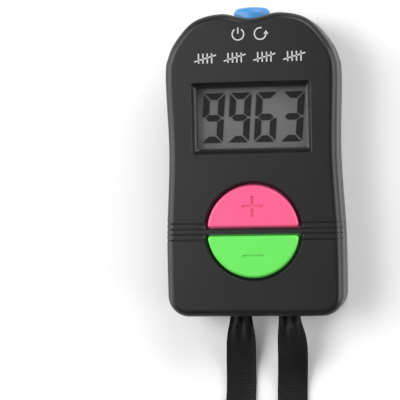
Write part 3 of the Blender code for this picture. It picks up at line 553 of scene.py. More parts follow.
def moulded_colour(name, colour, shade, light):
    """Coloured satin plastic: slightly uneven dye, a fine texture and paler worn edges."""
    finish = Finish(name, colour, 0.38, Coat_Weight=0.15, Coat_Roughness=0.25)
    cloud = finish.noise(4 * MM, 3.0)
    finish.paint(finish.ramp(cloud, 0.3, 0.7, 0.0, 0.35), shade)
    finish.polish(finish.ramp(cloud, 0.35, 0.65), 0.45)
    finish.paint(finish.math("MULTIPLY", finish.edges(0.2 * MM), 0.35), light)
    finish.grain(0.18 * MM, 0.004 * MM)
    return finish.material


def white_plastic():
    finish = Finish("white_plastic", (0.62, 0.61, 0.58), 0.5)
    finish.mottle(3 * MM, 0.3, 0.4, (0.52, 0.5, 0.45))
    finish.grain(0.15 * MM, 0.004 * MM)
    return finish.material


def switch_resin():
    finish = Finish("switch_resin", (0.02, 0.02, 0.022), 0.4)
    finish.polish(finish.ramp(finish.noise(0.8 * MM, 3.0), 0.3, 0.7), 0.6)
    finish.grain(0.12 * MM, 0.006 * MM)
    return finish.material


def window_clear():
    """A clear acrylic pane: it lets everything through and adds only its faintly smeared reflection."""
    finish = Finish("window_clear", (0.98, 0.98, 0.98), 0.06)
    tree = finish.tree
    clear = finish.node("ShaderNodeBsdfTransparent", {"Color": finish.colour}).outputs[0]
    gloss = finish.node("ShaderNodeBsdfGlossy", {"Roughness": finish.roughness}).outputs[0]
    mirror = finish.node("ShaderNodeFresnel", {"IOR": 1.45}).outputs[0]
    smears = finish.ramp(finish.noise(6 * MM), 0.0, 1.0, 0.064, 0.096)
    amount = finish.math("MULTIPLY", mirror, smears)
    mix = finish.node("ShaderNodeMixShader", {0: amount, 1: clear, 2: gloss}).outputs[0]
    tree.links.new(mix, tree.nodes["Material Output"].inputs["Surface"])
    tree.nodes.remove(finish.shader)
    return finish.material


def display_ground():
    """The grey-green ground of the display, with its faint grain."""
    finish = Finish("display_ground", (0.15, 0.151, 0.15), 0.6, Specular_IOR_Level=0.2)
    finish.mottle(0.12 * MM, 0.35, 0.4, (0.13, 0.131, 0.13), 1.0)
    finish.mottle(9 * MM, 0.4, 0.3, (0.16, 0.161, 0.16))
    finish.grain(0.2 * MM, 0.002 * MM)
    return finish.material


def cell_glass():
    """Grey-green glass, faintly mottled, seen only when the counter is taken apart."""
    finish = Finish("cell_glass", (0.2, 0.24, 0.22), 0.08, Coat_Weight=0.3)
    finish.mottle(5 * MM, 0.35, 0.5, (0.16, 0.2, 0.18))
    finish.grain(2 * MM, 0.002 * MM)
    return finish.material


def digit_black():
    finish = Finish("digit_black", (0.012, 0.012, 0.013), 0.6, Specular_IOR_Level=0.2)
    finish.mottle(0.3 * MM, 0.4, 0.5, (0.018, 0.018, 0.019))
    return finish.material


def printed_silver():
    """Silver-grey screen print with slightly ragged density."""
    finish = Finish("printed_silver", (0.52, 0.53, 0.54), 0.45)
    finish.mottle(0.25 * MM, 0.45, 0.5, (0.4, 0.41, 0.42), 3.0)
    finish.grain(0.1 * MM, 0.002 * MM)
    return finish.material


def striped_rubber():
    """Contact rubber: thin dark conducting layers between pink insulating ones."""
    finish = Finish("striped_rubber", (0.55, 0.28, 0.3), 0.7)
    finish.paint(finish.ramp(finish.wave(1.2 * MM), 0.45, 0.55), (0.03, 0.03, 0.03))
    finish.grain(0.3 * MM, 0.01 * MM)
    return finish.material


def board_laminate():
    """Green solder mask over tracks, with tinned pads."""
    finish = Finish("board_laminate", (0.015, 0.12, 0.05), 0.35)
    tracks = finish.node(
        "ShaderNodeTexBrick",
        {"Vector": finish.place, "Scale": 1 / (4 * MM), "Mortar Size": 0.03, "Mortar Smooth": 0.1},
    ).outputs["Fac"]
    finish.paint(tracks, (0.03, 0.2, 0.08))
    cells = finish.node("ShaderNodeTexVoronoi", {"Vector": finish.place, "Scale": 1 / (3.4 * MM)})
    pads = finish.ramp(cells.outputs["Distance"], 0.16, 0.13)
    finish.paint(pads, (0.6, 0.6, 0.58))
    finish.polish(pads, 0.25)
    finish.relief(tracks, 0.02 * MM)
    return finish.material


def ceramic():
    finish = Finish("ceramic", (0.42, 0.33, 0.22), 0.5)
    finish.mottle(0.4 * MM, 0.4, 0.5, (0.55, 0.45, 0.33))
    finish.grain(0.1 * MM, 0.004 * MM)
    return finish.material


def brushed_metal(name, colour, roughness, fineness):
    """Bare metal with fine scratches; fineness is how closely they lie along each axis."""
    finish = Finish(name, colour, roughness, Metallic=1.0)
    scratches = finish.noise(1.0, 3.0, 0.6, finish.stretched(fineness))
    finish.polish(finish.ramp(scratches, 0.35, 0.65), roughness + 0.15)
    shade = tuple(0.7 * c for c in colour)
    finish.mottle(2 * MM, 0.45, 0.5, shade, 3.0)
    finish.relief(scratches, 0.003 * MM)
    return finish.material


def screw_steel():
    return brushed_metal("screw_steel", (0.56, 0.56, 0.57), 0.28, (2500, 2500, 600))


def plated_strip():
    return brushed_metal("plated_strip", (0.66, 0.62, 0.52), 0.25, (500, 4000, 500))


def mirror_film():
    return brushed_metal("mirror_film", (0.75, 0.76, 0.76), 0.35, (3000, 400, 400))


def woven_ribbon():
    """Black satin ribbon: long floats along it, fine cross ribs and a corded edge."""
    finish = Finish("woven_ribbon", (0.003, 0.003, 0.004), 0.46, Sheen_Weight=0.02, Specular_IOR_Level=0.26)
    lay = finish.node("ShaderNodeUVMap", uv_map="ribbon").outputs[0]
    wobble = finish.noise(3 * MM, 2.0)
    unevenness = {"Distortion": 0.6, "Detail": 1.0, "Detail Scale": 2.0}
    ribs = finish.wave(1.1 * MM, lay, unevenness, bands_direction="X")
    floats = finish.noise(1.0, vector=finish.stretched((700, 5200, 1), lay))
    across = finish.node("ShaderNodeSeparateXYZ", {0: lay}).outputs[1]
    edge = finish.ramp(finish.math("ABSOLUTE", across), 3.0 * MM, 3.3 * MM)
    finish.paint(finish.ramp(floats, 0.4, 0.7, 0.0, 0.8), (0.009, 0.009, 0.011))
    finish.paint(finish.math("MULTIPLY", ribs, 0.35), (0.001, 0.001, 0.0015))
    finish.polish(finish.ramp(wobble, 0.35, 0.65), 0.55)
    finish.polish(edge, 0.7)
    finish.relief(ribs, 0.05 * MM)
    finish.relief(floats, 0.03 * MM)
    return finish.material


def tie_rubber():
    """Matt dark rubber band with fine mould lines."""
    finish = Finish("tie_rubber", (0.03, 0.03, 0.033), 0.7)
    lines = finish.wave(2.2 * MM, bands_direction="Y")
    finish.paint(finish.math("MULTIPLY", lines, 0.4), (0.05, 0.05, 0.055))
    finish.relief(lines, 0.04 * MM)
    finish.grain(0.3 * MM, 0.01 * MM)
    return finish.material


# ---- Ribbon: from behind the bar, down the right strand, round the coil and back up the left strand ----

RIBBON_WIDTH = 7.2 * MM
BUNCHED_WIDTH = 5.1 * MM
RIBBON_THICKNESS = 0.42 * MM
RIBBON_SPACING = 1.0 * MM  # between one cross-section of the ribbon and the next
RIBBON_CUP = 0.18 * MM
RIPPLE_HEIGHT = 0.05 * MM
RIPPLE_LENGTH = 7 * MM
BUNCH_FOLD = 0.55 * MM  # height of the folds where the ribbon is gathered at the slot
BUNCH_REACH = 4.5 * MM
WRAP_RADIUS = BAR_RADIUS + 0.32 * MM
COIL_NEAR_Y = -98.0 * MM
COIL_FAR_Y = -174.0 * MM
COIL_PITCH = 2.8 * MM
COIL_RADIUS = 21.5 * MM
COIL_Z = 3.7 * MM
COIL_SIDES = 6  # straight sides the ribbon lies along before it leaves the coil
TIE_PLACE = Vector((-18.0 * MM, -136.0 * MM))
TIE_LIFT = 0.65 * MM
TIE_REACH = 18.0 * MM
TIE_THICKNESS = 0.45 * MM
TIE_EASE = 0.16 * MM
TIE_CORNER = 0.95 * MM
# Each row is x, y and z in metres, and how far the ribbon has turned onto its edge, in degrees.
RIGHT_STRAND = (
    (0.0074, -0.0358, 0.0094, 0),
    (0.0075, -0.0385, 0.0091, 0),
    (0.0077, -0.0410, 0.0080, 0),
    (0.0076, -0.0450, 0.0052, 0),
    (0.0072, -0.0495, 0.0021, 0),
    (0.0069, -0.0540, 0.0006, 0),
    (0.0068, -0.0590, 0.0004, 0),
    (0.0078, -0.0650, 0.0016, 20),
    (0.0102, -0.0715, 0.0030, 50),
    (0.0132, -0.0766, 0.0037, 78),
    (0.0159, -0.0810, 0.0037, 90),
    (0.0188, -0.0868, 0.0037, 90),
    (0.0208, -0.0925, 0.0037, 90),
)
LEFT_STRAND = (
    (-0.0142, -0.1040, 0.0045, 112),
    (-0.0137, -0.0970, 0.0062, 145),
    (-0.0130, -0.0915, 0.0077, 170),
    (-0.0124, -0.0870, 0.0081, 180),
    (-0.0107, -0.0810, 0.0081, 180),
    (-0.0090, -0.0750, 0.0074, 180),
    (-0.0075, -0.0690, 0.0048, 180),
    (-0.0064, -0.0630, 0.0016, 180),
    (-0.0057, -0.0570, 0.0004, 180),
    (-0.0055, -0.0515, 0.0006, 180),
    (-0.0053, -0.0465, 0.0018, 180),
    (-0.0049, -0.0415, 0.0039, 180),
    (-0.0046, -0.0375, 0.0053, 180),
    (-0.0045, -0.0355, 0.0057, 180),
)


def strand_frames(rows, steps=5):
    """(point, across) pairs along a strand, turned onto its edge as its rows say."""
    rows = through(rows, steps)
    points = [Vector(row[:3]) for row in rows]
    frames = []
    for i, here in enumerate(points):
        along = points[min(i + 1, len(points) - 1)] - points[max(i - 1, 0)]
        flat = Vector((along.y, -along.x, 0.0)).normalized()
        up = flat.cross(along.normalized())
        turn = math.radians(rows[i][3])
        frames.append((here, flat * math.cos(turn) + up * math.sin(turn)))
    return frames


def wrap_frames(x, start, end, across):
    """(point, across) pairs round the bar, from one angle to another; 0 is behind it and 90 on top."""
    frames = []
    for angle in spread(math.radians(start), math.radians(end), 14):
        y = BAR_Y + WRAP_RADIUS * math.cos(angle)
        z = BAR_Z + WRAP_RADIUS * math.sin(angle)
        frames.append((Vector((x, y, z)), Vector((across, 0.0, 0.0))))
    return frames


def coil_frames():
    """(point, across) pairs round the oval coil, clockwise from above and inwards by one pitch a turn."""
    arc_steps = 14
    straight_steps = 6
    frames = []
    for count in range(COIL_SIDES):
        side = 1 if count % 2 == 0 else -1
        start_y, end_y = (COIL_NEAR_Y, COIL_FAR_Y) if side > 0 else (COIL_FAR_Y, COIL_NEAR_Y)
        radius = COIL_RADIUS - COIL_PITCH * count / 2
        frames += [Vector((side * radius, y, COIL_Z)) for y in spread(start_y, end_y, straight_steps)]
        if count == COIL_SIDES - 1:
            break
        for i in range(1, arc_steps):
            t = i / arc_steps
            angle = -math.pi * t
            bend = radius - COIL_PITCH / 2 * t
            x = side * bend * math.cos(angle)
            y = end_y + side * bend * math.sin(angle)
            frames.append(Vector((x, y, COIL_Z)))
    for point in frames:
        distance = (point.xy - TIE_PLACE).length if point.x < 0 else TIE_REACH * 4
        point.z += TIE_LIFT * math.exp(-((distance / TIE_REACH) ** 2))
    upright = Vector((0.0, 0.0, 1.0))
    return [(point, upright) for point in frames]


def ribbon_frames():
    """The whole ribbon: each end is folded round the bar and sewn back on itself."""
    right = strand_frames(RIGHT_STRAND)
    left = strand_frames(LEFT_STRAND)
    coil = coil_frames()
    first = wrap_frames(RIGHT_STRAND[0][0], -165, 100, -1.0)
    last = wrap_frames(LEFT_STRAND[-1][0], -100, 165, -1.0)
    return first + right + coil[:-1] + left + last


def resampled(frames, spacing):
    """The frames at even distances along the ribbon, smoothed a little."""
    lengths = [0.0]
    for (before, _), (after, _) in zip(frames, frames[1:]):
        lengths.append(lengths[-1] + (after - before).length)
    count = int(lengths[-1] / spacing)
    result = []
    k = 0
    for distance in spread(0.0, lengths[-1], count):
        while k < len(frames) - 2 and lengths[k + 1] < distance:
            k += 1
        t = (distance - lengths[k]) / max(lengths[k + 1] - lengths[k], 1e-9)
        point = frames[k][0].lerp(frames[k + 1][0], min(t, 1.0))
        across = frames[k][1].lerp(frames[k + 1][1], min(t, 1.0))
        result.append((point, across))
    for _ in range(3):
        inner = []
        for before, here, after in zip(result, result[1:], result[2:]):
            point = (before[0] + 2 * here[0] + after[0]) / 4
            inner.append((point, (before[1] + 2 * here[1] + after[1]) / 4))
        result = [result[0]] + inner + [result[-1]]
    return result, lengths[-1]


def ribbon_section(distance, from_slot):
    """(sideways, out, share) round the ribbon; share runs from -1 to 1 between its edges."""
    bunch = math.exp(-((from_slot / BUNCH_REACH) ** 2))
    half = (RIBBON_WIDTH + (BUNCHED_WIDTH - RIBBON_WIDTH) * bunch) / 2
    shares = spread(-1.0, 1.0, 12)
    section = []
    for face in (1, -1):
        for share in shares if face > 0 else reversed(shares):
            thickness = RIBBON_THICKNESS * (1.0 if abs(share) > 0.9 else 0.75)
            out = BUNCH_FOLD * bunch * math.cos(2.5 * math.pi * share)
            out += RIBBON_CUP * (1 - bunch) * (1 - share * share)
            out += RIPPLE_HEIGHT * math.sin(distance / RIPPLE_LENGTH + 3 * share)
            section.append((half * share, out + face * thickness / 2, share))
    return section


def ribbon_mesh(frames):
    """The ribbon's closed skin, with distances along and across it as its texture coordinates."""
    mesh = bpy.data.meshes.new("neck_ribbon")
    work = bmesh.new()
    lay = work.loops.layers.uv.new("ribbon")
    rings = []
    distance = 0.0
    for i, (here, across) in enumerate(frames):
        along = frames[min(i + 1, len(frames) - 1)][0] - frames[max(i - 1, 0)][0]
        along.normalize()
        across = (across - along * across.dot(along)).normalized()
        upwards = across.cross(along)
        if i:
            distance += (here - frames[i - 1][0]).length
        ring = []
        for sideways, out, share in ribbon_section(distance, max(0.0, BOTTOM - here.y)):
            corner = work.verts.new(here + across * sideways + upwards * out)
            ring.append((corner, (distance, share * RIBBON_WIDTH / 2)))
        rings.append(ring)
    for before, after in zip(rings, rings[1:]):
        for k in range(len(before)):
            n = (k + 1) % len(before)
            corners = (before[k], before[n], after[n], after[k])
            face = work.faces.new([corner[0] for corner in corners])
            for loop, corner in zip(face.loops, corners):
                loop[lay].uv = corner[1]
    for ring in (rings[0], rings[-1]):
        work.faces.new([corner[0] for corner in ring])
    bmesh.ops.recalc_face_normals(work, faces=work.faces)
    work.to_mesh(mesh)
    work.free()
    return mesh


def make_ribbon():
    frames, length = resampled(ribbon_frames(), RIBBON_SPACING)
    ribbon = finished("neck_ribbon", ribbon_mesh(frames), woven_ribbon(), "case", None, sharp=50)
    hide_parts("ribbon_strand_right", "ribbon_strand_left", "ribbon_coil")
    return ribbon, [tuple(point) for point, _ in frames], length


def make_ribbon_tie():
    """A moulded rubber band round one side of the coil, with a rounded section."""
    corner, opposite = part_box("ribbon_tie")
    centre = (middle("ribbon_tie", 0), middle("ribbon_tie", 2))
    width = opposite[0] - corner[0]
    height = opposite[2] - corner[2]
    centre_y = middle("ribbon_tie", 1)
    half = (opposite[1] - corner[1]) / 2
    thick = TIE_THICKNESS
    section = ((0.0, 0.0), (0.0, half), (thick, half), (thick, -half), (0.0, -half), (0.0, 0.0))
    loops = []
    for inset, offset in eased(section, TIE_EASE)[:-1]:
        outline = rectangle(width - 2 * inset, height - 2 * inset, centre, TIE_CORNER - inset, 6)
        loops.append([(x, centre_y + offset, z) for x, z in outline])
    mesh = skin("ribbon_tie_band", loops, ring=True)
    return finished("ribbon_tie_band", mesh, tie_rubber(), "case", "ribbon_tie")


# ---- Case ----

def window_cutter():
    """The display window: coved walls that steepen towards a rounded lip."""
    reach = (WINDOW_TOP[0] - WINDOW_FLOOR[0]) / 2
    profile = [(-reach, CEILING - 2 * OVERRUN)]
    for t in spread(0.0, 1.0, 8):
        climb = WINDOW_FOOT_SLOPE * t + (1 - WINDOW_FOOT_SLOPE) * t**3
        profile.append((reach * (t - 1), CEILING + WALL * climb))
    lip = eased(profile[-2:] + [(2 * LIP, FACE + LIP_OVERRUN)], LIP, 6)
    loops = []
    for grow, z in profile[:-2] + lip:
        size = (WINDOW_TOP[0] + 2 * grow, WINDOW_TOP[1] + 2 * grow)
        loops.append(at_height(rectangle(*size, (0.0, DISPLAY_Y), WINDOW_CORNER + grow * 0.2), z))
    return skin("window_cutter", loops)


def button_opening(side):
    """The half-round opening of one counting button, countersunk at the face."""
    rise = COUNTERSINK_RADIUS - OPENING_RADIUS
    profile = (
        (0.0, CEILING - OVERRUN),
        (0.0, FACE - rise),
        (rise, FACE),
        (rise + LIP, FACE + LIP_OVERRUN),
    )
    loops = []
    for grow, z in eased(profile, COUNTERSINK_EASE):
        flat = BRIDGE_HALF_WIDTH - grow * BRIDGE_TAPER
        loops.append(at_height(half_disc(OPENING_RADIUS + grow, flat, side, OPENING_CORNER), z))
    return skin("button_opening", loops)


def groove_cutters():
    """Grooves beside the buttons with sloping walls, each ending in a notch in the edge of the case."""
    cutters = []
    half = GROOVE_WIDTH / 2
    edge_x = SIDE_POINTS[1][0] * MM
    for side in (-1, 1):
        for offset in [sign * g for g in GROOVE_OFFSETS for sign in (-1, 1)]:
            y = BUTTONS_Y + offset
            section = (
                (y - half * GROOVE_FLOOR_SHARE, FACE - GROOVE_DEPTH),
                (y + half * GROOVE_FLOOR_SHARE, FACE - GROOVE_DEPTH),
                (y + half, FACE - GROOVE_SHOULDER),
                (y + half * GROOVE_MOUTH_SHARE, FACE + GROOVE_SHOULDER),
                (y - half * GROOVE_MOUTH_SHARE, FACE + GROOVE_SHOULDER),
                (y - half, FACE - GROOVE_SHOULDER),
            )
            ends = sorted((side * GROOVE_START, side * GROOVE_REACH))
            cutters.append(skin("groove", [[Vector((x, *point)) for point in section] for x in ends]))
            ends = sorted((side * (edge_x - EDGE_NOTCH_DEPTH), side * GROOVE_REACH))
            corner = (ends[0], y - half, FACE - EDGE_NOTCH_HEIGHT)
            opposite = (ends[1], y + half, FACE - GROOVE_DEPTH / 2)
            cutters.append(box("edge_notch", corner, opposite))
    return cutters


def reset_opening():
    half_width = RESET_HALF_WIDTH + GAP
    scale = (RESET_HALF_HEIGHT + GAP) / half_width
    profile = ((half_width, RESET_FLANGE_TOP - GAP), (half_width, RESET_TIP + GAP))
    return turned_along_y("reset_opening", profile, (0.0, RESET_Z), 72, scale)


def slot_cutter():
    """The ribbon slot, flared at the outside so that the ribbon doesn't chafe."""
    centre = (0.0, (SLOT_LOW + SLOT_HIGH) / 2)
    profile = ((0.0, BOTTOM + WALL + GAP), (0.0, BOTTOM), (2 * LIP, BOTTOM - OVERRUN))
    loops = []
    for grow, y in eased(profile, 1.5 * LIP, 6):
        size = (2 * SLOT_HALF_WIDTH + 2 * grow, SLOT_HIGH - SLOT_LOW + 2 * grow)
        outline = rectangle(*size, centre, SLOT_CORNER + grow)
        loops.append([Vector((x, y, z)) for x, z in outline])
    return skin("slot_cutter", loops)


def bar_seat():
    radius = BAR_RADIUS + GAP
    ends = (low("ribbon_bar", 0) - GAP, high("ribbon_bar", 0) + GAP)
    return turned_along_x("bar_seat", [(radius, x) for x in ends], (BAR_Y, BAR_Z))


def ears(base, top):
    """The two lugs at the ends of the ribbon bar."""
    inner = SLOT_HALF_WIDTH + GAP
    made = []
    for side in (-1, 1):
        ends = sorted((side * inner, side * (inner + WALL)))
        made.append(box("ear", (ends[0], BOTTOM + FLOOR_BITE, base), (ends[1], BAR_Y + EAR_REACH, top)))
    return made


def screw_place(name):
    return middle(name, 0), middle(name, 1)


def make_front_shell(finish):
    rebate = TONGUE_INSET - GAP
    rebate_top = SEAM + TONGUE_HEIGHT + GAP
    sides = (
        (SEAM_EASE[0], SEAM + GAP),
        (0.0, SEAM + GAP + SEAM_EASE[1]),
        (0.0, FACE - CHAMFER),
        (CHAMFER, FACE),
        (CHAMFER + FACE_MARGIN, FACE),
    )
    cavity = ((rebate, SEAM), (rebate, rebate_top), (WALL, rebate_top), (WALL, CEILING))
    into_wall = CEILING + FLOOR_BITE
    boss_base = REAR_BOSS_TOP + GAP
    steps = cut(case_loft("front_cavity", cavity))
    for name in CASE_SCREWS:
        steps += add(pillar("boss", FRONT_BOSS_RADIUS, boss_base, into_wall, screw_place(name), 32))
    for name in BOARD_SCREWS:
        steps += add(pillar("post", BOARD_POST_RADIUS, BOARD_TOP + GAP, into_wall, screw_place(name), 32))
    steps += add(*ears(BAR_Z + GAP / 2, into_wall))
    for name in CASE_SCREWS:
        top = high(name, 2) + GAP
        steps += cut(pillar("pilot_hole", CASE_SCREW_BORE, boss_base - GAP, top, screw_place(name), 20))
    for name in BOARD_SCREWS:
        top = high(name, 2) + GAP
        steps += cut(pillar("board_pilot_hole", BOARD_SCREW_BORE, BOARD_TOP, top, screw_place(name), 20))
    steps += cut(window_cutter(), button_opening(1), button_opening(-1), *groove_cutters())
    steps += cut(reset_opening(), slot_cutter(), bar_seat())
    mesh = carved(case_loft("front_shell", eased(sides, SHELL_EASE, 7)[:-1]), steps)
    return finished("front_shell", mesh, finish, "case", "front_case")


def make_rear_shell(finish):
    layers = []
    for angle in spread(0.0, math.pi / 2, 8):
        inset = REAR_EDGE_RADIUS * (1 - math.sin(angle))
        layers.append((inset, REAR_EDGE_RADIUS * (1 - math.cos(angle))))
    layers += [(0.0, SEAM - SEAM_EASE[1]), (SEAM_EASE[0], SEAM), (TONGUE_INSET, SEAM)]
    layers.append((TONGUE_INSET, SEAM + TONGUE_HEIGHT))
    steps = cut(case_loft("rear_cavity", ((WALL, WALL), (WALL, SEAM + 2 * TONGUE_HEIGHT))))
    for name in CASE_SCREWS:
        boss = pillar("rear_boss", REAR_BOSS_RADIUS, FLOOR_BITE, REAR_BOSS_TOP, screw_place(name), 40)
        steps += add(boss)
    steps += add(*ears(FLOOR_BITE, BAR_Z - GAP / 2))
    centre = (0.0, BUTTONS_Y)
    well_inner = DOOR_RADIUS + GAP
    well_outer = well_inner + BATTERY_WELL_WALL
    steps += add(pillar("battery_well", well_outer, FLOOR_BITE, BOARD_UNDER - GAP, centre))
    steps += cut(pillar("battery_room", well_inner, WALL, SEAM, centre))
    ledge = DOOR_THICKNESS + GAP
    seat = (
        (well_inner + SEAT_LIP, -OVERRUN),
        (well_inner, SEAT_LIP - OVERRUN),
        (well_inner, ledge),
    )
    steps += cut(turned("door_seat", seat, centre, 96))
    steps += cut(pillar("door_hole", DOOR_HUB_RADIUS + GAP, ledge / 2, WALL + GAP, centre))
    for side in (0, math.pi):
        angle = math.pi / 2 - DOOR_TURN + side
        outline = wedge(LUG_RADIUS + GAP, angle, NOTCH_HALF_ANGLE, centre)
        steps += cut(prism("lug_notch", outline, ledge / 2, WALL + GAP))
    for name in CASE_SCREWS:
        profile = (
            (WELL_RADIUS + LIP, -OVERRUN),
            (WELL_RADIUS, LIP - OVERRUN),
            (WELL_RADIUS, WELL_DEPTH),
            (CASE_SCREW_BORE, WELL_DEPTH),
            (CASE_SCREW_BORE, SEAM),
        )
        steps += cut(turned("screw_well", profile, screw_place(name), 40))
    steps += cut(reset_opening(), slot_cutter(), bar_seat())
    mesh = carved(case_loft("rear_shell", layers), steps)
    return finished("rear_shell", mesh, finish, "case", "rear_case")


def make_battery_cover(finish):
    centre = (0.0, BUTTONS_Y)
    profile = eased(
        (
            (DOOR_RADIUS - DOOR_RIM, 0.0),
            (DOOR_RADIUS, 0.0),
            (DOOR_RADIUS, DOOR_THICKNESS),
            (DOOR_HUB_RADIUS, DOOR_THICKNESS),
            (DOOR_HUB_RADIUS, DOOR_HUB_TOP),
            (DOOR_HUB_RADIUS - DOOR_HUB_RIM, DOOR_HUB_TOP),
        ),
        EDGE_EASE,
    )
    steps = []
    for side in (0, math.pi):
        outline = wedge(LUG_RADIUS, math.pi / 2 + side, LUG_HALF_ANGLE, centre)
        steps += add(prism("lug", outline, WALL + GAP, LUG_TOP))
    steps += cut(pillar("cell_cup", CELL_CUP_RADIUS, DOOR_FLOOR, DOOR_HUB_TOP + GAP, centre))
    length, width, depth = COIN_SLOT
    loops = []
    for grow, z in COIN_SLOT_EDGE + ((0.0, depth),):
        outline = rectangle(length + 2 * grow, width + 2 * grow, centre, 0.49 * width + grow)
        loops.append(at_height(outline, z))
    steps += cut(skin("coin_slot", loops))
    mark = (0.0, BUTTONS_Y + DOOR_MARK_REACH)
    steps += cut(pillar("door_mark", DOOR_MARK_RADIUS, -GAP, GAP, mark, 24))
    mesh = carved(turned("battery_cover", profile, centre, 96), steps)
    return finished("battery_cover", mesh, finish, "door", "battery_door")


# ---- Buttons ----


def sign_cutter(width, height, centre):
    """One bar of an engraved sign, a little wider at the top."""
    loops = []
    for grow, z in ((0.0, -SIGN_DEPTH),) + SIGN_EDGE:
        outline = rectangle(width + 2 * grow, height + 2 * grow, centre, SIGN_CORNER + grow, 3)
        loops.append(at_height(outline, BUTTON_TOP + z))
    return skin("sign", loops)


def make_key(name, side, finish, body, node):
    """A half-round key with a soft rim, a retaining flange, a stem and its engraved sign."""
    flange_top = CEILING - GAP
    flange_base = flange_top - FLANGE_THICKNESS
    profile = eased(
        (
            (0.0, flange_base + FLANGE_THICKNESS / 2),
            (0.0, BUTTON_TOP - BUTTON_BEVEL),
            (BUTTON_BEVEL, BUTTON_TOP),
            (3 * BUTTON_BEVEL, BUTTON_TOP),
        ),
        EDGE_EASE,
    )
    loops = []
    for inset, z in profile[:-1]:
        corner = KEY_CORNER_RADIUS - inset / 2
        outline = half_disc(BUTTON_RADIUS - inset, BUTTON_HALF_SLIT + inset, side, corner)
        loops.append(at_height(outline, z))
    stem_place = (0.0, BUTTONS_Y + side * SWITCH_OFFSET)
    flange = half_disc(FLANGE_RADIUS, BRIDGE_HALF_WIDTH / 2, side)
    steps = add(prism("flange", flange, flange_base, flange_top))
    steps += add(pillar("stem", STEM_RADIUS, BUTTON_UNDER, flange_top, stem_place, 32))
    centre = (0.0, BUTTONS_Y + side * SIGN_OFFSET)
    steps += cut(sign_cutter(2 * SIGN_REACH, 2 * SIGN_HALF_STROKE, centre))
    if side > 0:
        steps += cut(sign_cutter(2 * SIGN_HALF_STROKE, 2 * SIGN_REACH, centre))
    mesh = carved(skin(name, loops), steps)
    return finished(name, mesh, finish, body, node)


def make_reset_key(finish):
    scale = RESET_HALF_HEIGHT / RESET_HALF_WIDTH
    rim = RESET_HALF_WIDTH + RESET_FLANGE_RIM
    flange_base = RESET_FLANGE_TOP - RESET_FLANGE_THICKNESS
    profile = [
        (rim - RESET_FLANGE_BEVEL, flange_base),
        (rim, flange_base + RESET_FLANGE_BEVEL),
        (rim, RESET_FLANGE_TOP),
        (RESET_HALF_WIDTH, RESET_FLANGE_TOP),
    ]
    dome_top = RESET_TIP - RESET_CROWN_RISE
    for angle in spread(0.0, math.pi / 2, 14)[:-1]:
        radius = RESET_HALF_WIDTH - RESET_DOME * (1 - math.cos(angle))
        profile.append((radius, dome_top - RESET_DOME * (1 - math.sin(angle))))
    crown = RESET_HALF_WIDTH - RESET_DOME
    for share in (0.97, 0.85, 0.65, 0.4, 0.15):
        profile.append((crown * share, RESET_TIP - RESET_CROWN_RISE * share**2))
    mesh = turned_along_y("reset_key", profile, (0.0, RESET_Z), 96, scale)
    stem = [(STEM_RADIUS, y) for y in (RESET_STEM_END, RESET_FLANGE_TOP)]
    mesh = carved(mesh, add(turned_along_y("reset_stem", stem, (0.0, RESET_STEM_Z), 32)))
    return finished("reset_key_cap", mesh, finish, "reset_key", "reset_button")


# ---- Display digits and print ----

READING = "9963"
DIGIT_HEIGHT = 11.6 * MM
DIGIT_WIDTH = 5.05 * MM
DIGIT_PITCH = 6.23 * MM
STROKE = 1.5 * MM
SEGMENT_GAP = 0.4 * MM
SLANT = math.tan(math.radians(4.3))
DIGITS_CENTRE = (0.0, DISPLAY_Y + 0.15 * MM)
DIGIT_THICKNESS = 0.03 * MM
# The bars of each digit that is shown: a is the top one, b to f follow clockwise and g is the middle one.
LIT = {"3": "abcdg", "6": "acdefg", "9": "abcdfg"}


def segment_outline(key):
    """The corners of one segment of a digit whose middle is at the origin, before the slant."""
    w = DIGIT_WIDTH / 2
    h = DIGIT_HEIGHT / 2
    g = SEGMENT_GAP / 2 * math.sqrt(2)
    s = STROKE
    half = s / 2
    top = ((-w + g, h), (w - g, h), (w - g - s, h - s), (-w + g + s, h - s))
    right = ((w, h - g), (w, g), (w - half + g / 2, g), (w - s, half + g), (w - s, h - s - g))
    bar = (
        (-w + half, 0.0),
        (-w + s, half),
        (w - s, half),
        (w - half, 0.0),
        (w - s, -half),
        (-w + s, -half),
    )
    if key == "a":
        return top
    if key == "d":
        return tuple((x, -y) for x, y in top)
    if key == "g":
        return bar
    flip_x = -1 if key in "ef" else 1
    flip_y = -1 if key in "ce" else 1
    return tuple((flip_x * x, flip_y * y) for x, y in right)


def flat_pieces(name, outlines, base, top):
    """One mesh of thin plates with the given outlines."""
    mesh = bpy.data.meshes.new(name)
    work = bmesh.new()
    for outline in outlines:
        under = [work.verts.new((x, y, base)) for x, y in outline]
        over = [work.verts.new((x, y, top)) for x, y in outline]
        work.faces.new(list(reversed(under)))
        work.faces.new(over)
        for i in range(len(outline)):
            j = (i + 1) % len(outline)
            work.faces.new((under[i], under[j], over[j], over[i]))
    bmesh.ops.recalc_face_normals(work, faces=work.faces)
    work.to_mesh(mesh)
    work.free()
    return mesh


def make_display_film():
    """The display's grey ground, at the underside of its polariser."""
    corner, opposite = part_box("lcd_polariser")
    centre = (middle("lcd_polariser", 0), middle("lcd_polariser", 1))
    size = (opposite[0] - corner[0], opposite[1] - corner[1])
    outline = rectangle(*size, centre, FILM_CORNER)
    mesh = prism("display_film", outline, corner[2], corner[2] + FILM_THICKNESS)
    return finished("display_film", mesh, display_ground(), "case", "lcd_polariser")


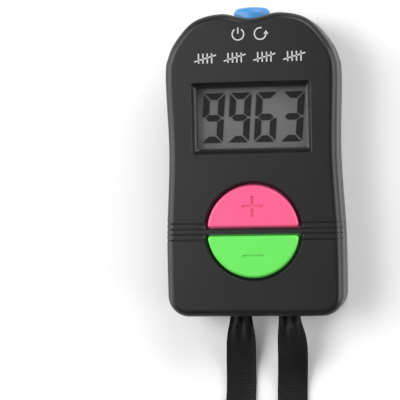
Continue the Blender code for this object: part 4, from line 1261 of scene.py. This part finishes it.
def make_digits():
    outlines = []
    first = DIGITS_CENTRE[0] - DIGIT_PITCH * (len(READING) - 1) / 2
    for i, character in enumerate(READING):
        for key in LIT[character]:
            points = []
            for x, y in segment_outline(key):
                points.append((first + i * DIGIT_PITCH + x + SLANT * y, DIGITS_CENTRE[1] + y))
            outlines.append(points)
    base = low("lcd_polariser", 2) + FILM_THICKNESS + DIGIT_LIFT
    mesh = flat_pieces("display_digits", outlines, base, base + DIGIT_THICKNESS)
    return finished("display_digits", mesh, digit_black(), "case", None)


PRINT_HEIGHT = 0.02 * MM
TALLY_Y = DISPLAY_Y + 14.0 * MM
TALLY_HEIGHT = 2.3 * MM
TALLY_LENGTH = 26.0 * MM
TALLY_STROKE = 0.32 * MM
TALLY_GROUPS = 4
TALLY_SPACE = 0.35  # between groups, as a share of a group's width
TALLY_SLOPE = 0.32  # half the rise of a crossing stroke, as a share of the height
SYMBOLS_Y = DISPLAY_Y + 19.4 * MM
SYMBOL_X = 2.6 * MM
SYMBOL_RADIUS = 1.35 * MM
SYMBOL_STROKE = 0.3 * MM


def bar_outline(start, end, width):
    """A straight stroke from start to end."""
    along = Vector((end[0] - start[0], end[1] - start[1])).normalized()
    side = Vector((-along.y, along.x)) * width / 2
    corners = (Vector(start) + side, Vector(start) - side, Vector(end) - side, Vector(end) + side)
    return [tuple(corner) for corner in corners]


def arc_outline(centre, radius, width, start, end, steps=20):
    """A curved stroke round centre, from one angle to another in degrees."""
    angles = [math.radians(a) for a in spread(start, end, steps)]
    outer = [(radius + width / 2, a) for a in angles]
    inner = [(radius - width / 2, a) for a in reversed(angles)]
    return [(centre[0] + r * math.cos(a), centre[1] + r * math.sin(a)) for r, a in outer + inner]


def tally_outlines():
    """A row of tally marks in groups of five, each fifth stroke across the other four."""
    group_width = TALLY_LENGTH / (TALLY_GROUPS + (TALLY_GROUPS - 1) * TALLY_SPACE)
    stroke_gap = group_width / 5
    outlines = []
    for group in range(TALLY_GROUPS):
        left = -TALLY_LENGTH / 2 + group * group_width * (1 + TALLY_SPACE)
        for i in range(4):
            x = left + (i + 1) * stroke_gap
            start = (x, TALLY_Y - TALLY_HEIGHT / 2)
            outlines.append(bar_outline(start, (x, TALLY_Y + TALLY_HEIGHT / 2), TALLY_STROKE))
        rise = TALLY_SLOPE * TALLY_HEIGHT
        end = (left + group_width, TALLY_Y + rise)
        outlines.append(bar_outline((left, TALLY_Y - rise), end, TALLY_STROKE))
    return outlines


def symbol_outlines():
    """A power symbol and a circular arrow for switching on and going back to zero."""
    left = (-SYMBOL_X, SYMBOLS_Y)
    right = (SYMBOL_X, SYMBOLS_Y)
    radius = SYMBOL_RADIUS
    outlines = [
        arc_outline(left, radius, SYMBOL_STROKE, 125, 415),
        bar_outline((left[0], left[1] + 0.1 * radius), (left[0], left[1] + 1.15 * radius), SYMBOL_STROKE),
        arc_outline(right, radius, SYMBOL_STROKE, 75, 360),
    ]
    tip = (right[0] + radius, right[1] + 0.55 * radius)
    base_y = right[1] - 0.1 * radius
    outlines.append([tip, (tip[0] - 0.45 * radius, base_y), (tip[0] + 0.45 * radius, base_y)])
    return outlines


def make_print():
    mesh = flat_pieces("face_print", tally_outlines() + symbol_outlines(), FACE, FACE + PRINT_HEIGHT)
    return finished("face_print", mesh, printed_silver(), "case", None)


# ---- Pieces that keep their CAD mesh ----


EDGE_SOFTENING = 0.06 * MM
WELD_DISTANCE = 0.001 * MM


def dress(node, finish, softening):
    """Gives a CAD node its material, and softens its edges without touching its mesh."""
    piece = NODES[node]
    piece.data.materials.clear()
    piece.data.materials.append(finish)
    weld = piece.modifiers.new("weld", "WELD")
    weld.merge_threshold = WELD_DISTANCE
    if softening:
        bevel = piece.modifiers.new("bevel", "BEVEL")
        bevel.width = softening
        bevel.segments = 2
        bevel.limit_method = "ANGLE"
        bevel.angle_limit = math.radians(40)
        bevel.use_clamp_overlap = True
        bevel.harden_normals = False
    for face in piece.data.polygons:
        face.use_smooth = True
    weights = piece.modifiers.new("weights", "WEIGHTED_NORMAL")
    weights.keep_sharp = True


def dress_inner_pieces():
    white = white_plastic()
    resin = switch_resin()
    steel = screw_steel()
    strip = plated_strip()
    rubber = striped_rubber()
    glass = cell_glass()
    finishes = {
        "display_window": window_clear(),
        "lcd_front_glass": glass,
        "lcd_rear_glass": glass,
        "lcd_reflector": mirror_film(),
        "lcd_frame": white,
        "contact_strip_upper": rubber,
        "contact_strip_lower": rubber,
        "main_board": board_laminate(),
        "counter_chip": resin,
        "clock_crystal": steel,
        "capacitor_left": ceramic(),
        "capacitor_right": ceramic(),
        "resistor": resin,
        "button_cell": steel,
        "negative_contact": strip,
        "positive_contact": strip,
        "ribbon_bar": steel,
    }
    for key in ("plus", "minus", "reset"):
        finishes[key + "_switch_base"] = resin
        finishes[key + "_switch_plunger"] = white
    for name in CASE_SCREWS + BOARD_SCREWS:
        finishes[name] = steel
    for name, finish in finishes.items():
        dress(name, finish, 0.0 if name == "display_window" else EDGE_SOFTENING)


# ---- Floor and light ----


FLOOR_HALF_SIZE = 2.0


def make_floor():
    mesh = bpy.data.meshes.new("floor")
    half = FLOOR_HALF_SIZE
    corners = [(-half, -half, 0.0), (half, -half, 0.0), (half, half, 0.0), (-half, half, 0.0)]
    mesh.from_pydata(corners, [], [(0, 1, 2, 3)])
    finish = Finish("floor_card", (0.92, 0.92, 0.92), 0.8)
    finish.mottle(0.2, 0.3, 0.5, (0.9, 0.9, 0.9))
    finish.grain(0.4 * MM, 0.01 * MM)
    mesh.materials.append(finish.material)
    floor = link("floor", mesh)


def make_light(name, place, aim, size, power):
    data = bpy.data.lights.new(name, "AREA")
    data.shape = "RECTANGLE"
    data.size, data.size_y = size
    data.energy = power
    lamp = link(name, data)
    lamp.location = place
    lamp.rotation_euler = (Vector(aim) - Vector(place)).to_track_quat("-Z", "Y").to_euler()


def make_lights():
    aim = (0.0, 0.0, 0.0)
    make_light("key", (-0.58, 0.2, 0.72), aim, (0.55, 0.55), 4.2)
    make_light("sheen", (-0.42, 0.06, 0.88), (-0.42, 0.06, 0.0), (0.46, 0.5), 1.4)
    make_light("left", (-0.8, 0.0, 0.27), aim, (0.9, 0.5), 5.5)
    make_light("right", (0.8, 0.0, 0.27), aim, (0.9, 0.5), 5.8)
    make_light("top", (0.35, 0.75, 0.6), aim, (0.7, 0.5), 5.6)
    world = bpy.data.worlds.new("studio")
    world.use_nodes = True
    background = world.node_tree.nodes["Background"]
    background.inputs["Color"].default_value = (0.95, 0.97, 1.0, 1.0)
    background.inputs["Strength"].default_value = 0.15
    bpy.context.scene.world = world
    bpy.context.scene.view_settings.view_transform = "Standard"


def main():
    make_camera()
    ribbon, path, length = make_ribbon()
    tie = make_ribbon_tie()
    black = moulded_black()
    make_front_shell(black)
    make_rear_shell(black)
    make_battery_cover(black)
    pink = moulded_colour("moulded_pink", (0.82, 0.088, 0.235), (0.77, 0.07, 0.2), (0.88, 0.28, 0.42))
    green = moulded_colour("moulded_green", (0.12, 0.69, 0.09), (0.09, 0.62, 0.07), (0.38, 0.82, 0.33))
    blue = moulded_colour("moulded_blue", (0.055, 0.26, 0.6), (0.04, 0.21, 0.52), (0.16, 0.38, 0.7))
    make_key("plus_key_cap", 1, pink, "plus_key", "plus_button")
    make_key("minus_key_cap", -1, green, "minus_key", "minus_button")
    make_reset_key(blue)
    make_display_film()
    make_digits()
    make_print()
    dress_inner_pieces()
    make_floor()
    make_lights()


main()
